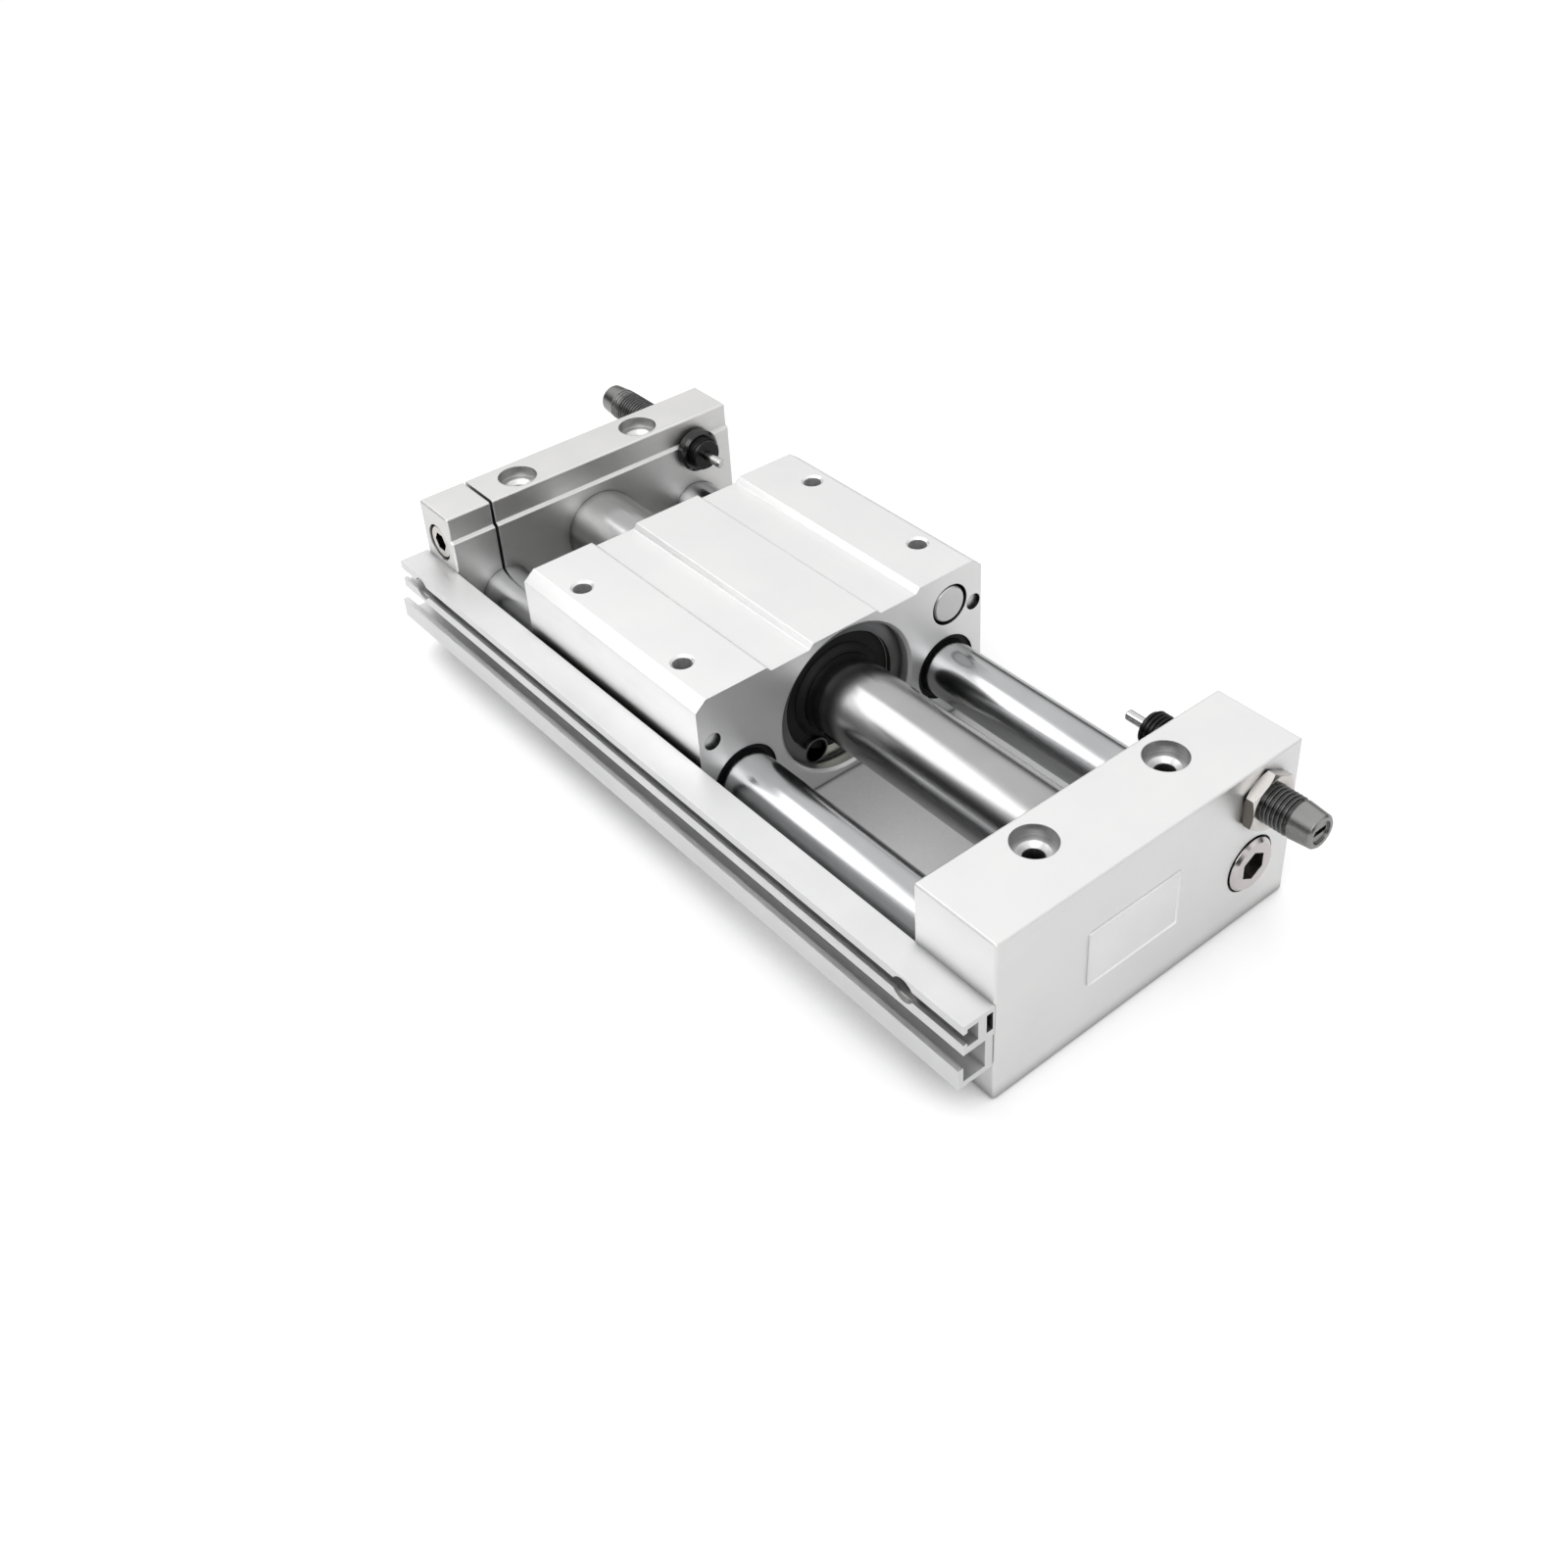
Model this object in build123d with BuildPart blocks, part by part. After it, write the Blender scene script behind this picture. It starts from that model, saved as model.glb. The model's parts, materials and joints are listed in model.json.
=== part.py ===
"""Magnetically coupled rodless cylinder with two guide shafts, 20 mm bore, 100 mm stroke.

Frame: +X along the stroke towards the port block, +Y away from the switch rail, +Z up.
Origin: on the mounting plane, at the centre of the four mounting holes. Sizes in mm.
"""

import math
import os

from build123d import *

os.makedirs("parts", exist_ok=True)

# Stroke and travel
stroke = 100.0
slider_length = 76.0
slider_rest_offset = -21.0
absorber_reach_port = 9.0
absorber_reach_clamp = 6.0
clear_length = slider_length + stroke + absorber_reach_port + absorber_reach_clamp
inner_face = clear_length / 2

# Clearances
seat_gap = 0.02
running_gap = 0.05
stand_off = 0.3

# Cylinder tube
bore_r = 10.0
tube_wall = 1.4
tube_r = bore_r + tube_wall
tube_seat_depth = 10.0
tube_edge = 0.4
chamber_r = bore_r - 2.0
chamber_depth_port = 7.6
chamber_depth_clamp = 4.0
bumper_length = 4.0
bumper_hole_r = 4.0

# Magnet stack: the same lengths inside the tube and around it
magnet_count = 4
yoke_length = 3.0
holder_length = 6.0
end_plate_length = 3.5
ring_inset = 5.0
outer_ring_gap = 0.7
outer_ring_width = 8.88
stack_half = slider_length / 2 - ring_inset - end_plate_length - holder_length
magnet_ring_length = (2 * stack_half - (magnet_count + 1) * yoke_length) / magnet_count
stack_pitch = magnet_ring_length + yoke_length
outer_ring_inner_r = tube_r + outer_ring_gap
outer_ring_r = outer_ring_inner_r + outer_ring_width

# Guide shafts, slide bushings and wipers
shaft_r = 8.0
shaft_edge = 0.8
shaft_seat_port = 12.0
shaft_seat_clamp = 10.0
shaft_passage_r = 2.5
bushing_wall = 1.6
bushing_length = 16.0
wiper_length = 2.4
wiper_recess = 0.8
bushing_bore_r = shaft_r + running_gap + bushing_wall

# Slider block: its bores and walls set the width and height of the whole unit
slider_bottom = 1.0
slider_floor = 2.2
slider_roof = 1.4
slider_web = 3.08
slider_side_wall = 3.08
slider_bore_r = outer_ring_r + seat_gap
slider_shaft_bore_r = bushing_bore_r + seat_gap
slider_relief_r = shaft_r + 1.0
tube_z = slider_bottom + slider_floor + slider_bore_r
slider_top = tube_z + slider_bore_r + slider_roof
shaft_drop = 7.3
shaft_z = tube_z - shaft_drop
shaft_y = slider_bore_r + slider_web + slider_shaft_bore_r
half_width = shaft_y + slider_shaft_bore_r + slider_side_wall
slider_corner_y = 3.2
slider_corner_z = 2.6
slider_foot_edge = 1.0
strip_depth = 1.4
strip_bevel = 1.3
pad_width = 21.6
centre_band_y = 10.3
slider_bore_edge = 0.8
table_pitch_x = 44.0
table_inset_y = 8.0
table_hole_r = 2.5
table_hole_depth = 10.0
table_hole_mouth = 0.6

# End blocks
slider_side_gap = 1.5
slider_rise = 0.2
block_width = 2 * (half_width + slider_side_gap)
block_height = slider_top - slider_rise
port_block_thickness = 24.6
clamp_block_thickness = 16.0
block_edge = 0.4
ledge_drop = 7.5
ledge_depth = 1.0

# Mounting holes through the end blocks, between the tube and the shafts
mount_inset = 8.0
mount_shaft_distance = 13.0
mount_y = shaft_y - mount_shaft_distance
mount_hole_r = 2.6
mount_hole_mouth = 1.2
mount_counterbore_r = 5.5
mount_counterbore_depth = 3.2

# Air passages and ports of the port block
port_r = 4.3
port_depth = 6.0
port_passage_r = 2.0
port_inset = 9.0
tube_port_rise = 4.0
shaft_chamber_r = 4.0
plug_thread_r = 7.0
plug_thread_length = 6.5
plug_head_r = 7.2
plug_head_length = 2.2
plug_edge = 0.9
plug_recess_r = 7.7
plug_recess_depth = 1.0
plug_socket = 7.0
plug_socket_depth = 4.5

# Cross passage of the clamp block
cross_passage_r = 1.3
cross_passage_rise = 2.1
cross_passage_inset = 13.0
cross_plug_r = 2.5
cross_plug_length = 4.0

# Shaft clamp: a saw cut down to the bore, drawn shut by one screw
slit_width = 1.0
clamp_screw_rise = 19.1
clamp_screw_r = 3.0
clamp_head_r = 5.0
clamp_head_length = 6.0
clamp_head_recess = 0.4
clamp_counterbore_r = 5.5
clamp_screw_length = 16.0
clamp_socket = 5.0
clamp_socket_depth = 3.0

# O-rings of the tube and of the hollow shaft
o_ring_section = 1.6
o_ring_width = 1.9
o_ring_inset = 4.0

# Shock absorbers
absorber_inset = 12.7
absorber_rise = 12.2
absorber_r = 5.0
absorber_length = 50.0
absorber_end_r = 4.4
absorber_taper = 6.0
absorber_edge = 0.6
absorber_slot_width = 1.4
absorber_slot_depth = 1.6
absorber_stroke = 7.0
absorber_rod_r = 1.4
absorber_rod_inside = 14.0
absorber_rod_edge = 0.4
lock_nut_flats = 14.0
lock_nut_length = 3.2
stop_ring_r = 6.5
stop_ring_length = 3.0
stop_ring_edge = 0.8

# Strike discs and switch magnets in the slider's end faces
disc_r = absorber_r + 0.2
disc_gap = 0.8
disc_length = 5.0
disc_edge = 0.4
magnet_rise = 9.2
magnet_r = 2.3
magnet_recess = 1.2
magnet_length = 5.0
magnet_inset_rail = 4.1
magnet_inset_open = 2.8

# Wear rings, scrapers and retaining rings on the tube
wear_wall = 1.3
wear_length = 5.0
scraper_width = 5.8
scraper_r = tube_r + scraper_width
scraper_length = 5.0
scraper_lip = 1.2
scraper_lip_width = 2.2
scraper_lip_r = tube_r + scraper_lip_width
ring_thickness = 1.5
ring_groove_extra = 0.9
ring_width = 3.6
ring_gap_angle = 60
ring_lug_r = 3.8
ring_lug_hole_r = 3.0

# Piston
piston_r = bore_r - 0.3
inner_magnet_r = bore_r - 1.0
inner_yoke_r = bore_r - 0.6
piston_groove_r = bore_r - 2.0
piston_shaft_r = 4.0
piston_end_length = 13.0
piston_wear_inset = 2.5
piston_wear_length = 3.5
piston_seal_inset = piston_end_length - 4.5
piston_seal_length = 2.8
piston_nut_flats = 12.0
piston_nut_length = 4.5
piston_shaft_tail = 1.5

# Switch rail: an extrusion with two grooves along the side of the blocks
rail_bottom = 11.4
rail_skin = 1.4
rail_foot_skin = 1.5
rail_foot_lip_height = 5.7
rail_foot_lip_width = 1.5
rail_foot_reach = 10.3
rail_lower_groove = 8.0
rail_lower_back = 2.6
rail_shelf = 1.9
rail_upper_groove = 5.2
rail_upper_back = 4.6
rail_reach = 8.8
rail_lip = 1.0
rail_lip_width = 1.1
rail_cell_gap = 0.5
rail_cell_reach = 2.3
rail_relief = 0.5
rail_overhang = 1.0
rail_screw_inset = 6.0
rail_screw_r = 1.25
rail_screw_length = 10.0
rail_head_gap = 0.2
rail_head_length = 1.6
rail_head_socket = 2.0
rail_notch_r = 3.3

# Places worked out from the sizes above
port_outer_face = inner_face + port_block_thickness
clamp_outer_face = -inner_face - clamp_block_thickness
tube_end = inner_face + tube_seat_depth
mount_x = inner_face + mount_inset
mount_seat_z = block_height - mount_counterbore_depth
port_x = port_outer_face - port_inset
side_face = block_width / 2
rail_side = -side_face
tube_passage_z = tube_z + tube_port_rise
cross_passage_z = shaft_z + cross_passage_rise
clamp_screw_z = shaft_z + clamp_screw_rise
absorber_y = side_face - absorber_inset
absorber_z = tube_z + absorber_rise
magnet_z = tube_z + magnet_rise
magnet_rail_y = magnet_inset_rail - half_width
magnet_open_y = half_width - magnet_inset_open
table_pitch_y = 2 * (half_width - table_inset_y)
pad_inner_y = half_width - pad_width
rail_foot_top = rail_bottom + rail_foot_skin
rail_foot_lip_top = rail_bottom + rail_foot_lip_height
rail_shelf_bottom = rail_foot_top + rail_lower_groove
rail_shelf_top = rail_shelf_bottom + rail_shelf
rail_roof = rail_shelf_top + rail_upper_groove
rail_top = rail_roof + rail_skin
rail_screw_z = rail_shelf_top + rail_upper_groove / 2
rail_head_r = rail_upper_groove / 2 - rail_head_gap
ends = (("port_end", 1, absorber_reach_port), ("clamp_end", -1, absorber_reach_clamp))
outer_faces = {1: port_outer_face, -1: clamp_outer_face}


def cross_plane(x, y=0.0, z=0.0):
    """Plane square to the stroke: local x along +Y, local y up."""
    return Plane(origin=(x, y, z), x_dir=(0, 1, 0), z_dir=(1, 0, 0))


def axial_plane(y, z):
    """Plane that holds an axis along the stroke: local x along +X, local y up."""
    return Plane(origin=(0, y, z), x_dir=(1, 0, 0), z_dir=(0, -1, 0))


def side_plane(y, x=0.0, z=0.0):
    """Plane square to +Y: local x along +X, local y down."""
    return Plane(origin=(x, y, z), x_dir=(1, 0, 0), z_dir=(0, 1, 0))


def stroke_axis(y, z):
    """Axis along the stroke through the given height and offset."""
    return Axis((0, y, z), (1, 0, 0))


def hole_rims(solid, radius, height):
    """Round edges of one radius that lie level at one height."""
    rims = solid.edges().filter_by(GeomType.CIRCLE)
    rims = rims.filter_by_position(Axis.Z, height - seat_gap, height + seat_gap)
    return rims.filter_by(lambda rim: abs(rim.radius - radius) < seat_gap)


def ring(outer, inner):
    """Flat ring in the current sketch."""
    Circle(outer)
    Circle(inner, mode=Mode.SUBTRACT)


def closed_outline(*points, mode=Mode.ADD):
    """Closed straight-sided face in the current sketch, its corners where they are given."""
    Polygon(*points, align=None, mode=mode)


def chamfered_bar(start, finish, radius, edge):
    """Half outline of a round bar with chamfered ends, from its axis outwards."""
    closed_outline(
        (start, 0),
        (start, radius - edge),
        (start + edge, radius),
        (finish - edge, radius),
        (finish, radius - edge),
        (finish, 0),
    )


# Port block: thick end block with both air ports, on one side
with BuildPart() as port_end_block:
    with BuildSketch(cross_plane(inner_face, 0, block_height / 2)):
        Rectangle(block_width, block_height)
    extrude(amount=port_block_thickness)
    chamfer(port_end_block.edges(), block_edge)
    with BuildSketch(cross_plane(inner_face)):
        with Locations((0, tube_z)):
            Circle(tube_r + seat_gap)
    extrude(amount=tube_seat_depth, mode=Mode.SUBTRACT)
    with BuildSketch(cross_plane(tube_end)):
        with Locations((0, tube_z)):
            Circle(chamber_r)
    extrude(amount=chamber_depth_port, mode=Mode.SUBTRACT)
    with BuildSketch(cross_plane(inner_face + o_ring_inset)):
        with Locations((0, tube_z)):
            Circle(tube_r + o_ring_section)
    extrude(amount=o_ring_width, mode=Mode.SUBTRACT)
    with BuildSketch(cross_plane(inner_face)):
        with Locations((-shaft_y, shaft_z), (shaft_y, shaft_z)):
            Circle(shaft_r + seat_gap)
    extrude(amount=shaft_seat_port, mode=Mode.SUBTRACT)
    with BuildSketch(cross_plane(inner_face + o_ring_inset)):
        with Locations((shaft_y, shaft_z)):
            Circle(shaft_r + o_ring_section)
    extrude(amount=o_ring_width, mode=Mode.SUBTRACT)
    with BuildSketch(cross_plane(port_outer_face)):
        with Locations((shaft_y, shaft_z)):
            Circle(plug_recess_r)
    extrude(amount=-plug_recess_depth, mode=Mode.SUBTRACT)
    with BuildSketch(cross_plane(port_outer_face)):
        with Locations((shaft_y, shaft_z)):
            Circle(plug_thread_r + seat_gap)
    extrude(amount=-plug_recess_depth - plug_thread_length, mode=Mode.SUBTRACT)
    with BuildSketch(cross_plane(inner_face)):
        with Locations((shaft_y, shaft_z)):
            Circle(shaft_chamber_r)
    extrude(amount=port_block_thickness, mode=Mode.SUBTRACT)
    with BuildSketch(cross_plane(inner_face)):
        with Locations((absorber_y, absorber_z)):
            Circle(absorber_r + seat_gap)
    extrude(amount=port_block_thickness, mode=Mode.SUBTRACT)
    with BuildSketch(side_plane(side_face, port_x)):
        with Locations((0, -tube_passage_z), (0, -shaft_z)):
            Circle(port_r)
    extrude(amount=-port_depth, mode=Mode.SUBTRACT)
    with BuildSketch(side_plane(side_face, port_x)):
        with Locations((0, -tube_passage_z)):
            Circle(port_passage_r)
    extrude(amount=-side_face, mode=Mode.SUBTRACT)
    with BuildSketch(side_plane(side_face, port_x)):
        with Locations((0, -shaft_z)):
            Circle(port_passage_r)
    extrude(amount=shaft_y - side_face, mode=Mode.SUBTRACT)
    with BuildSketch(side_plane(rail_side, inner_face + rail_screw_inset, rail_screw_z)):
        Circle(rail_screw_r + seat_gap)
    extrude(amount=rail_screw_length, mode=Mode.SUBTRACT)
    with Locations(Plane.XY.offset(block_height)):
        with Locations((mount_x, -mount_y), (mount_x, mount_y)):
            CounterBoreHole(mount_hole_r, mount_counterbore_r, mount_counterbore_depth)
    chamfer(hole_rims(port_end_block, mount_hole_r, mount_seat_z), mount_hole_mouth)
port_end_block.part.label = "port_end_block"
export_step(port_end_block.part, "parts/port_end_block.step")

# Clamp block: thin end block, slit above the rail-side shaft
with BuildPart() as clamp_end_block:
    with BuildSketch(axial_plane(-side_face, 0)):
        closed_outline(
            (clamp_outer_face, 0),
            (-inner_face, 0),
            (-inner_face, block_height - ledge_drop),
            (-inner_face - ledge_depth, block_height - ledge_drop),
            (-inner_face - ledge_depth, block_height),
            (clamp_outer_face, block_height),
        )
    extrude(amount=-block_width)
    chamfer(clamp_end_block.edges(), block_edge)
    with BuildSketch(cross_plane(-inner_face)):
        with Locations((0, tube_z)):
            Circle(tube_r + seat_gap)
    extrude(amount=-tube_seat_depth, mode=Mode.SUBTRACT)
    with BuildSketch(cross_plane(-tube_end)):
        with Locations((0, tube_z)):
            Circle(chamber_r)
    extrude(amount=-chamber_depth_clamp, mode=Mode.SUBTRACT)
    with BuildSketch(cross_plane(-inner_face - o_ring_inset)):
        with Locations((0, tube_z)):
            Circle(tube_r + o_ring_section)
        with Locations((shaft_y, shaft_z)):
            Circle(shaft_r + o_ring_section)
    extrude(amount=-o_ring_width, mode=Mode.SUBTRACT)
    with BuildSketch(cross_plane(-inner_face)):
        with Locations((-shaft_y, shaft_z)):
            Circle(shaft_r + seat_gap)
    extrude(amount=-clamp_block_thickness, mode=Mode.SUBTRACT)
    with BuildSketch(cross_plane(-inner_face)):
        with Locations((shaft_y, shaft_z)):
            Circle(shaft_r + seat_gap)
    extrude(amount=-shaft_seat_clamp, mode=Mode.SUBTRACT)
    with BuildSketch(cross_plane(-inner_face)):
        with Locations((shaft_y, shaft_z)):
            Circle(shaft_chamber_r)
    extrude(amount=-shaft_seat_clamp - chamber_depth_clamp, mode=Mode.SUBTRACT)
    with BuildSketch(cross_plane(-inner_face)):
        with Locations((absorber_y, absorber_z)):
            Circle(absorber_r + seat_gap)
    extrude(amount=-clamp_block_thickness, mode=Mode.SUBTRACT)
    with BuildSketch(side_plane(side_face, -inner_face - cross_passage_inset, cross_passage_z)):
        Circle(cross_passage_r)
    extrude(amount=-side_face, mode=Mode.SUBTRACT)
    with BuildSketch(side_plane(side_face, -inner_face - cross_passage_inset, cross_passage_z)):
        Circle(cross_plug_r + seat_gap)
    extrude(amount=-cross_plug_length, mode=Mode.SUBTRACT)
    with BuildSketch(cross_plane(-inner_face, -shaft_y, (shaft_z + block_height) / 2)):
        Rectangle(slit_width, block_height - shaft_z)
    extrude(amount=-clamp_block_thickness, mode=Mode.SUBTRACT)
    with BuildSketch(side_plane(rail_side, -mount_x, clamp_screw_z)):
        Circle(clamp_counterbore_r)
    extrude(amount=clamp_head_recess + clamp_head_length, mode=Mode.SUBTRACT)
    with BuildSketch(side_plane(rail_side, -mount_x, clamp_screw_z)):
        Circle(clamp_screw_r + seat_gap)
    extrude(
        amount=clamp_head_recess + clamp_head_length + clamp_screw_length, mode=Mode.SUBTRACT
    )
    with BuildSketch(side_plane(rail_side, -inner_face - rail_screw_inset, rail_screw_z)):
        Circle(rail_screw_r + seat_gap)
    extrude(amount=rail_screw_length, mode=Mode.SUBTRACT)
    with Locations(Plane.XY.offset(block_height)):
        with Locations((-mount_x, -mount_y), (-mount_x, mount_y)):
            CounterBoreHole(mount_hole_r, mount_counterbore_r, mount_counterbore_depth)
    chamfer(hole_rims(clamp_end_block, mount_hole_r, mount_seat_z), mount_hole_mouth)
clamp_end_block.part.label = "clamp_end_block"
export_step(clamp_end_block.part, "parts/clamp_end_block.step")

# Cylinder tube, thin-walled, seated in both blocks
with BuildPart() as cylinder_tube:
    with BuildSketch(axial_plane(0, tube_z)):
        closed_outline(
            (-tube_end, bore_r),
            (-tube_end, tube_r - tube_edge),
            (-tube_end + tube_edge, tube_r),
            (tube_end - tube_edge, tube_r),
            (tube_end, tube_r - tube_edge),
            (tube_end, bore_r),
        )
    revolve(axis=stroke_axis(0, tube_z))
cylinder_tube.part.label = "cylinder_tube"
export_step(cylinder_tube.part, "parts/cylinder_tube.step")

# Guide shafts: solid on the rail side, drilled through for air on the other
with BuildPart() as solid_guide_shaft:
    with BuildSketch(axial_plane(-shaft_y, shaft_z)):
        chamfered_bar(
            clamp_outer_face + block_edge, inner_face + shaft_seat_port, shaft_r, shaft_edge
        )
    revolve(axis=stroke_axis(-shaft_y, shaft_z))
solid_guide_shaft.part.label = "solid_guide_shaft"
export_step(solid_guide_shaft.part, "parts/solid_guide_shaft.step")

with BuildPart() as hollow_guide_shaft:
    with BuildSketch(axial_plane(shaft_y, shaft_z)):
        chamfered_bar(
            -inner_face - shaft_seat_clamp, inner_face + shaft_seat_port, shaft_r, shaft_edge
        )
    revolve(axis=stroke_axis(shaft_y, shaft_z))
    with BuildSketch(cross_plane(-inner_face - shaft_seat_clamp, shaft_y, shaft_z)):
        Circle(shaft_passage_r)
    extrude(amount=clear_length + shaft_seat_clamp + shaft_seat_port, mode=Mode.SUBTRACT)
hollow_guide_shaft.part.label = "hollow_guide_shaft"
export_step(hollow_guide_shaft.part, "parts/hollow_guide_shaft.step")

# Hexagon-socket plug that closes the shaft passage
plug_face = port_outer_face - plug_recess_depth
with BuildPart() as passage_end_plug:
    with BuildSketch(cross_plane(plug_face, shaft_y, shaft_z)):
        Circle(plug_thread_r)
    extrude(amount=-plug_thread_length)
    with BuildSketch(cross_plane(plug_face, shaft_y, shaft_z)):
        Circle(plug_head_r)
    extrude(amount=plug_head_length)
    chamfer(passage_end_plug.faces().sort_by(Axis.X)[-1].edges(), plug_edge)
    with BuildSketch(cross_plane(plug_face + plug_head_length, shaft_y, shaft_z)):
        RegularPolygon(plug_socket / 2, 6, major_radius=False, rotation=30)
    extrude(amount=-plug_socket_depth, mode=Mode.SUBTRACT)
passage_end_plug.part.label = "passage_end_plug"
export_step(passage_end_plug.part, "parts/passage_end_plug.step")

# Plug of the cross passage in the clamp block
with BuildPart() as cross_passage_plug:
    with BuildSketch(side_plane(side_face, -inner_face - cross_passage_inset, cross_passage_z)):
        Circle(cross_plug_r)
    extrude(amount=-cross_plug_length)
cross_passage_plug.part.label = "cross_passage_plug"
export_step(cross_passage_plug.part, "parts/cross_passage_plug.step")

# Clamp screw across the slit
clamp_seat_y = rail_side + clamp_head_recess + clamp_head_length
with BuildPart() as clamp_screw:
    with BuildSketch(side_plane(clamp_seat_y, -mount_x, clamp_screw_z)):
        Circle(clamp_head_r)
    extrude(amount=-clamp_head_length)
    chamfer(clamp_screw.faces().sort_by(Axis.Y)[0].edges(), block_edge)
    with BuildSketch(side_plane(clamp_seat_y, -mount_x, clamp_screw_z)):
        Circle(clamp_screw_r)
    extrude(amount=clamp_screw_length)
    with BuildSketch(side_plane(rail_side + clamp_head_recess, -mount_x, clamp_screw_z)):
        RegularPolygon(clamp_socket / 2, 6, major_radius=False)
    extrude(amount=clamp_socket_depth, mode=Mode.SUBTRACT)
clamp_screw.part.label = "clamp_screw"
export_step(clamp_screw.part, "parts/clamp_screw.step")

# O-rings, squeezed to the square of their grooves, at both ends
for end_name, end, reach in ends:
    groove_start = end * (inner_face + o_ring_inset)
    for seat_name, seat_y, seat_z, seat_r in (
        ("tube", 0.0, tube_z, tube_r),
        ("shaft", shaft_y, shaft_z, shaft_r),
    ):
        with BuildPart() as o_ring:
            with BuildSketch(cross_plane(groove_start, seat_y, seat_z)):
                ring(seat_r + o_ring_section - seat_gap, seat_r + seat_gap)
            extrude(amount=end * o_ring_width)
        o_ring_name = f"{seat_name}_o_ring_{end_name}"
        o_ring.part.label = o_ring_name
        export_step(o_ring.part, f"parts/{o_ring_name}.step")

# Rubber bumpers inside the tube's ends
for end_name, end, reach in ends:
    with BuildPart() as tube_bumper:
        with BuildSketch(cross_plane(end * tube_end, 0, tube_z)):
            ring(bore_r - seat_gap, bumper_hole_r)
        extrude(amount=-end * bumper_length)
    bumper_name = f"tube_bumper_{end_name}"
    tube_bumper.part.label = bumper_name
    export_step(tube_bumper.part, f"parts/{bumper_name}.step")

# Shock absorbers: body, rod, lock nut and stop ring at both ends
for end_name, end, reach in ends:
    front = end * (inner_face - reach)
    back = front + end * absorber_length
    with BuildPart() as absorber_body:
        with BuildSketch(axial_plane(absorber_y, absorber_z)):
            closed_outline(
                (front, 0),
                (front, absorber_r - absorber_edge),
                (front + end * absorber_edge, absorber_r),
                (back - end * absorber_taper, absorber_r),
                (back - end * absorber_edge, absorber_end_r),
                (back, absorber_end_r - absorber_edge),
                (back, 0),
            )
        revolve(axis=stroke_axis(absorber_y, absorber_z))
        with BuildSketch(cross_plane(front, absorber_y, absorber_z)):
            Circle(absorber_rod_r + running_gap)
        extrude(
            amount=end * (absorber_rod_inside + absorber_stroke + stand_off), mode=Mode.SUBTRACT
        )
        with BuildSketch(cross_plane(back, absorber_y, absorber_z)):
            Rectangle(2 * absorber_r, absorber_slot_width)
        extrude(amount=-end * absorber_slot_depth, mode=Mode.SUBTRACT)
    body_name = f"absorber_body_{end_name}"
    absorber_body.part.label = body_name
    export_step(absorber_body.part, f"parts/{body_name}.step")

    rod_tip = front - end * absorber_stroke
    rod_tail = front + end * absorber_rod_inside
    with BuildPart() as absorber_rod:
        with BuildSketch(axial_plane(absorber_y, absorber_z)):
            chamfered_bar(
                min(rod_tip, rod_tail), max(rod_tip, rod_tail), absorber_rod_r, absorber_rod_edge
            )
        revolve(axis=stroke_axis(absorber_y, absorber_z))
    rod_name = f"absorber_rod_{end_name}"
    absorber_rod.part.label = rod_name
    export_step(absorber_rod.part, f"parts/{rod_name}.step")

    with BuildPart() as absorber_stop_ring:
        with BuildSketch(cross_plane(end * inner_face, absorber_y, absorber_z)):
            ring(stop_ring_r, absorber_r + seat_gap)
        extrude(amount=-end * stop_ring_length)
        free_rim = absorber_stop_ring.faces().sort_by(Axis.X)[0 if end > 0 else -1].edges()
        chamfer(free_rim.sort_by(SortBy.LENGTH)[-1], stop_ring_edge)
    ring_name = f"absorber_stop_ring_{end_name}"
    absorber_stop_ring.part.label = ring_name
    export_step(absorber_stop_ring.part, f"parts/{ring_name}.step")

# Lock nuts of the absorbers, against the outer faces
nut_corner_r = lock_nut_flats / math.sqrt(3)
nut_edge_depth = (nut_corner_r - lock_nut_flats / 2) * math.tan(math.radians(30))
with BuildPart() as absorber_lock_nuts:
    for end_name, end, reach in ends:
        outer = outer_faces[end]
        with BuildSketch(cross_plane(outer, absorber_y, absorber_z)):
            RegularPolygon(lock_nut_flats / 2, 6, major_radius=False, rotation=30)
            Circle(absorber_r + seat_gap, mode=Mode.SUBTRACT)
        extrude(amount=end * lock_nut_length)
    for end_name, end, reach in ends:
        outer = outer_faces[end]
        with BuildSketch(axial_plane(absorber_y, absorber_z)):
            closed_outline(
                (outer, absorber_r),
                (outer, lock_nut_flats / 2),
                (outer + end * nut_edge_depth, nut_corner_r),
                (outer + end * (lock_nut_length - nut_edge_depth), nut_corner_r),
                (outer + end * lock_nut_length, lock_nut_flats / 2),
                (outer + end * lock_nut_length, absorber_r),
            )
    revolve(axis=stroke_axis(absorber_y, absorber_z), mode=Mode.INTERSECT)
absorber_lock_nuts.part.label = "absorber_lock_nuts"
export_step(absorber_lock_nuts.part, "parts/absorber_lock_nuts.step")

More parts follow.
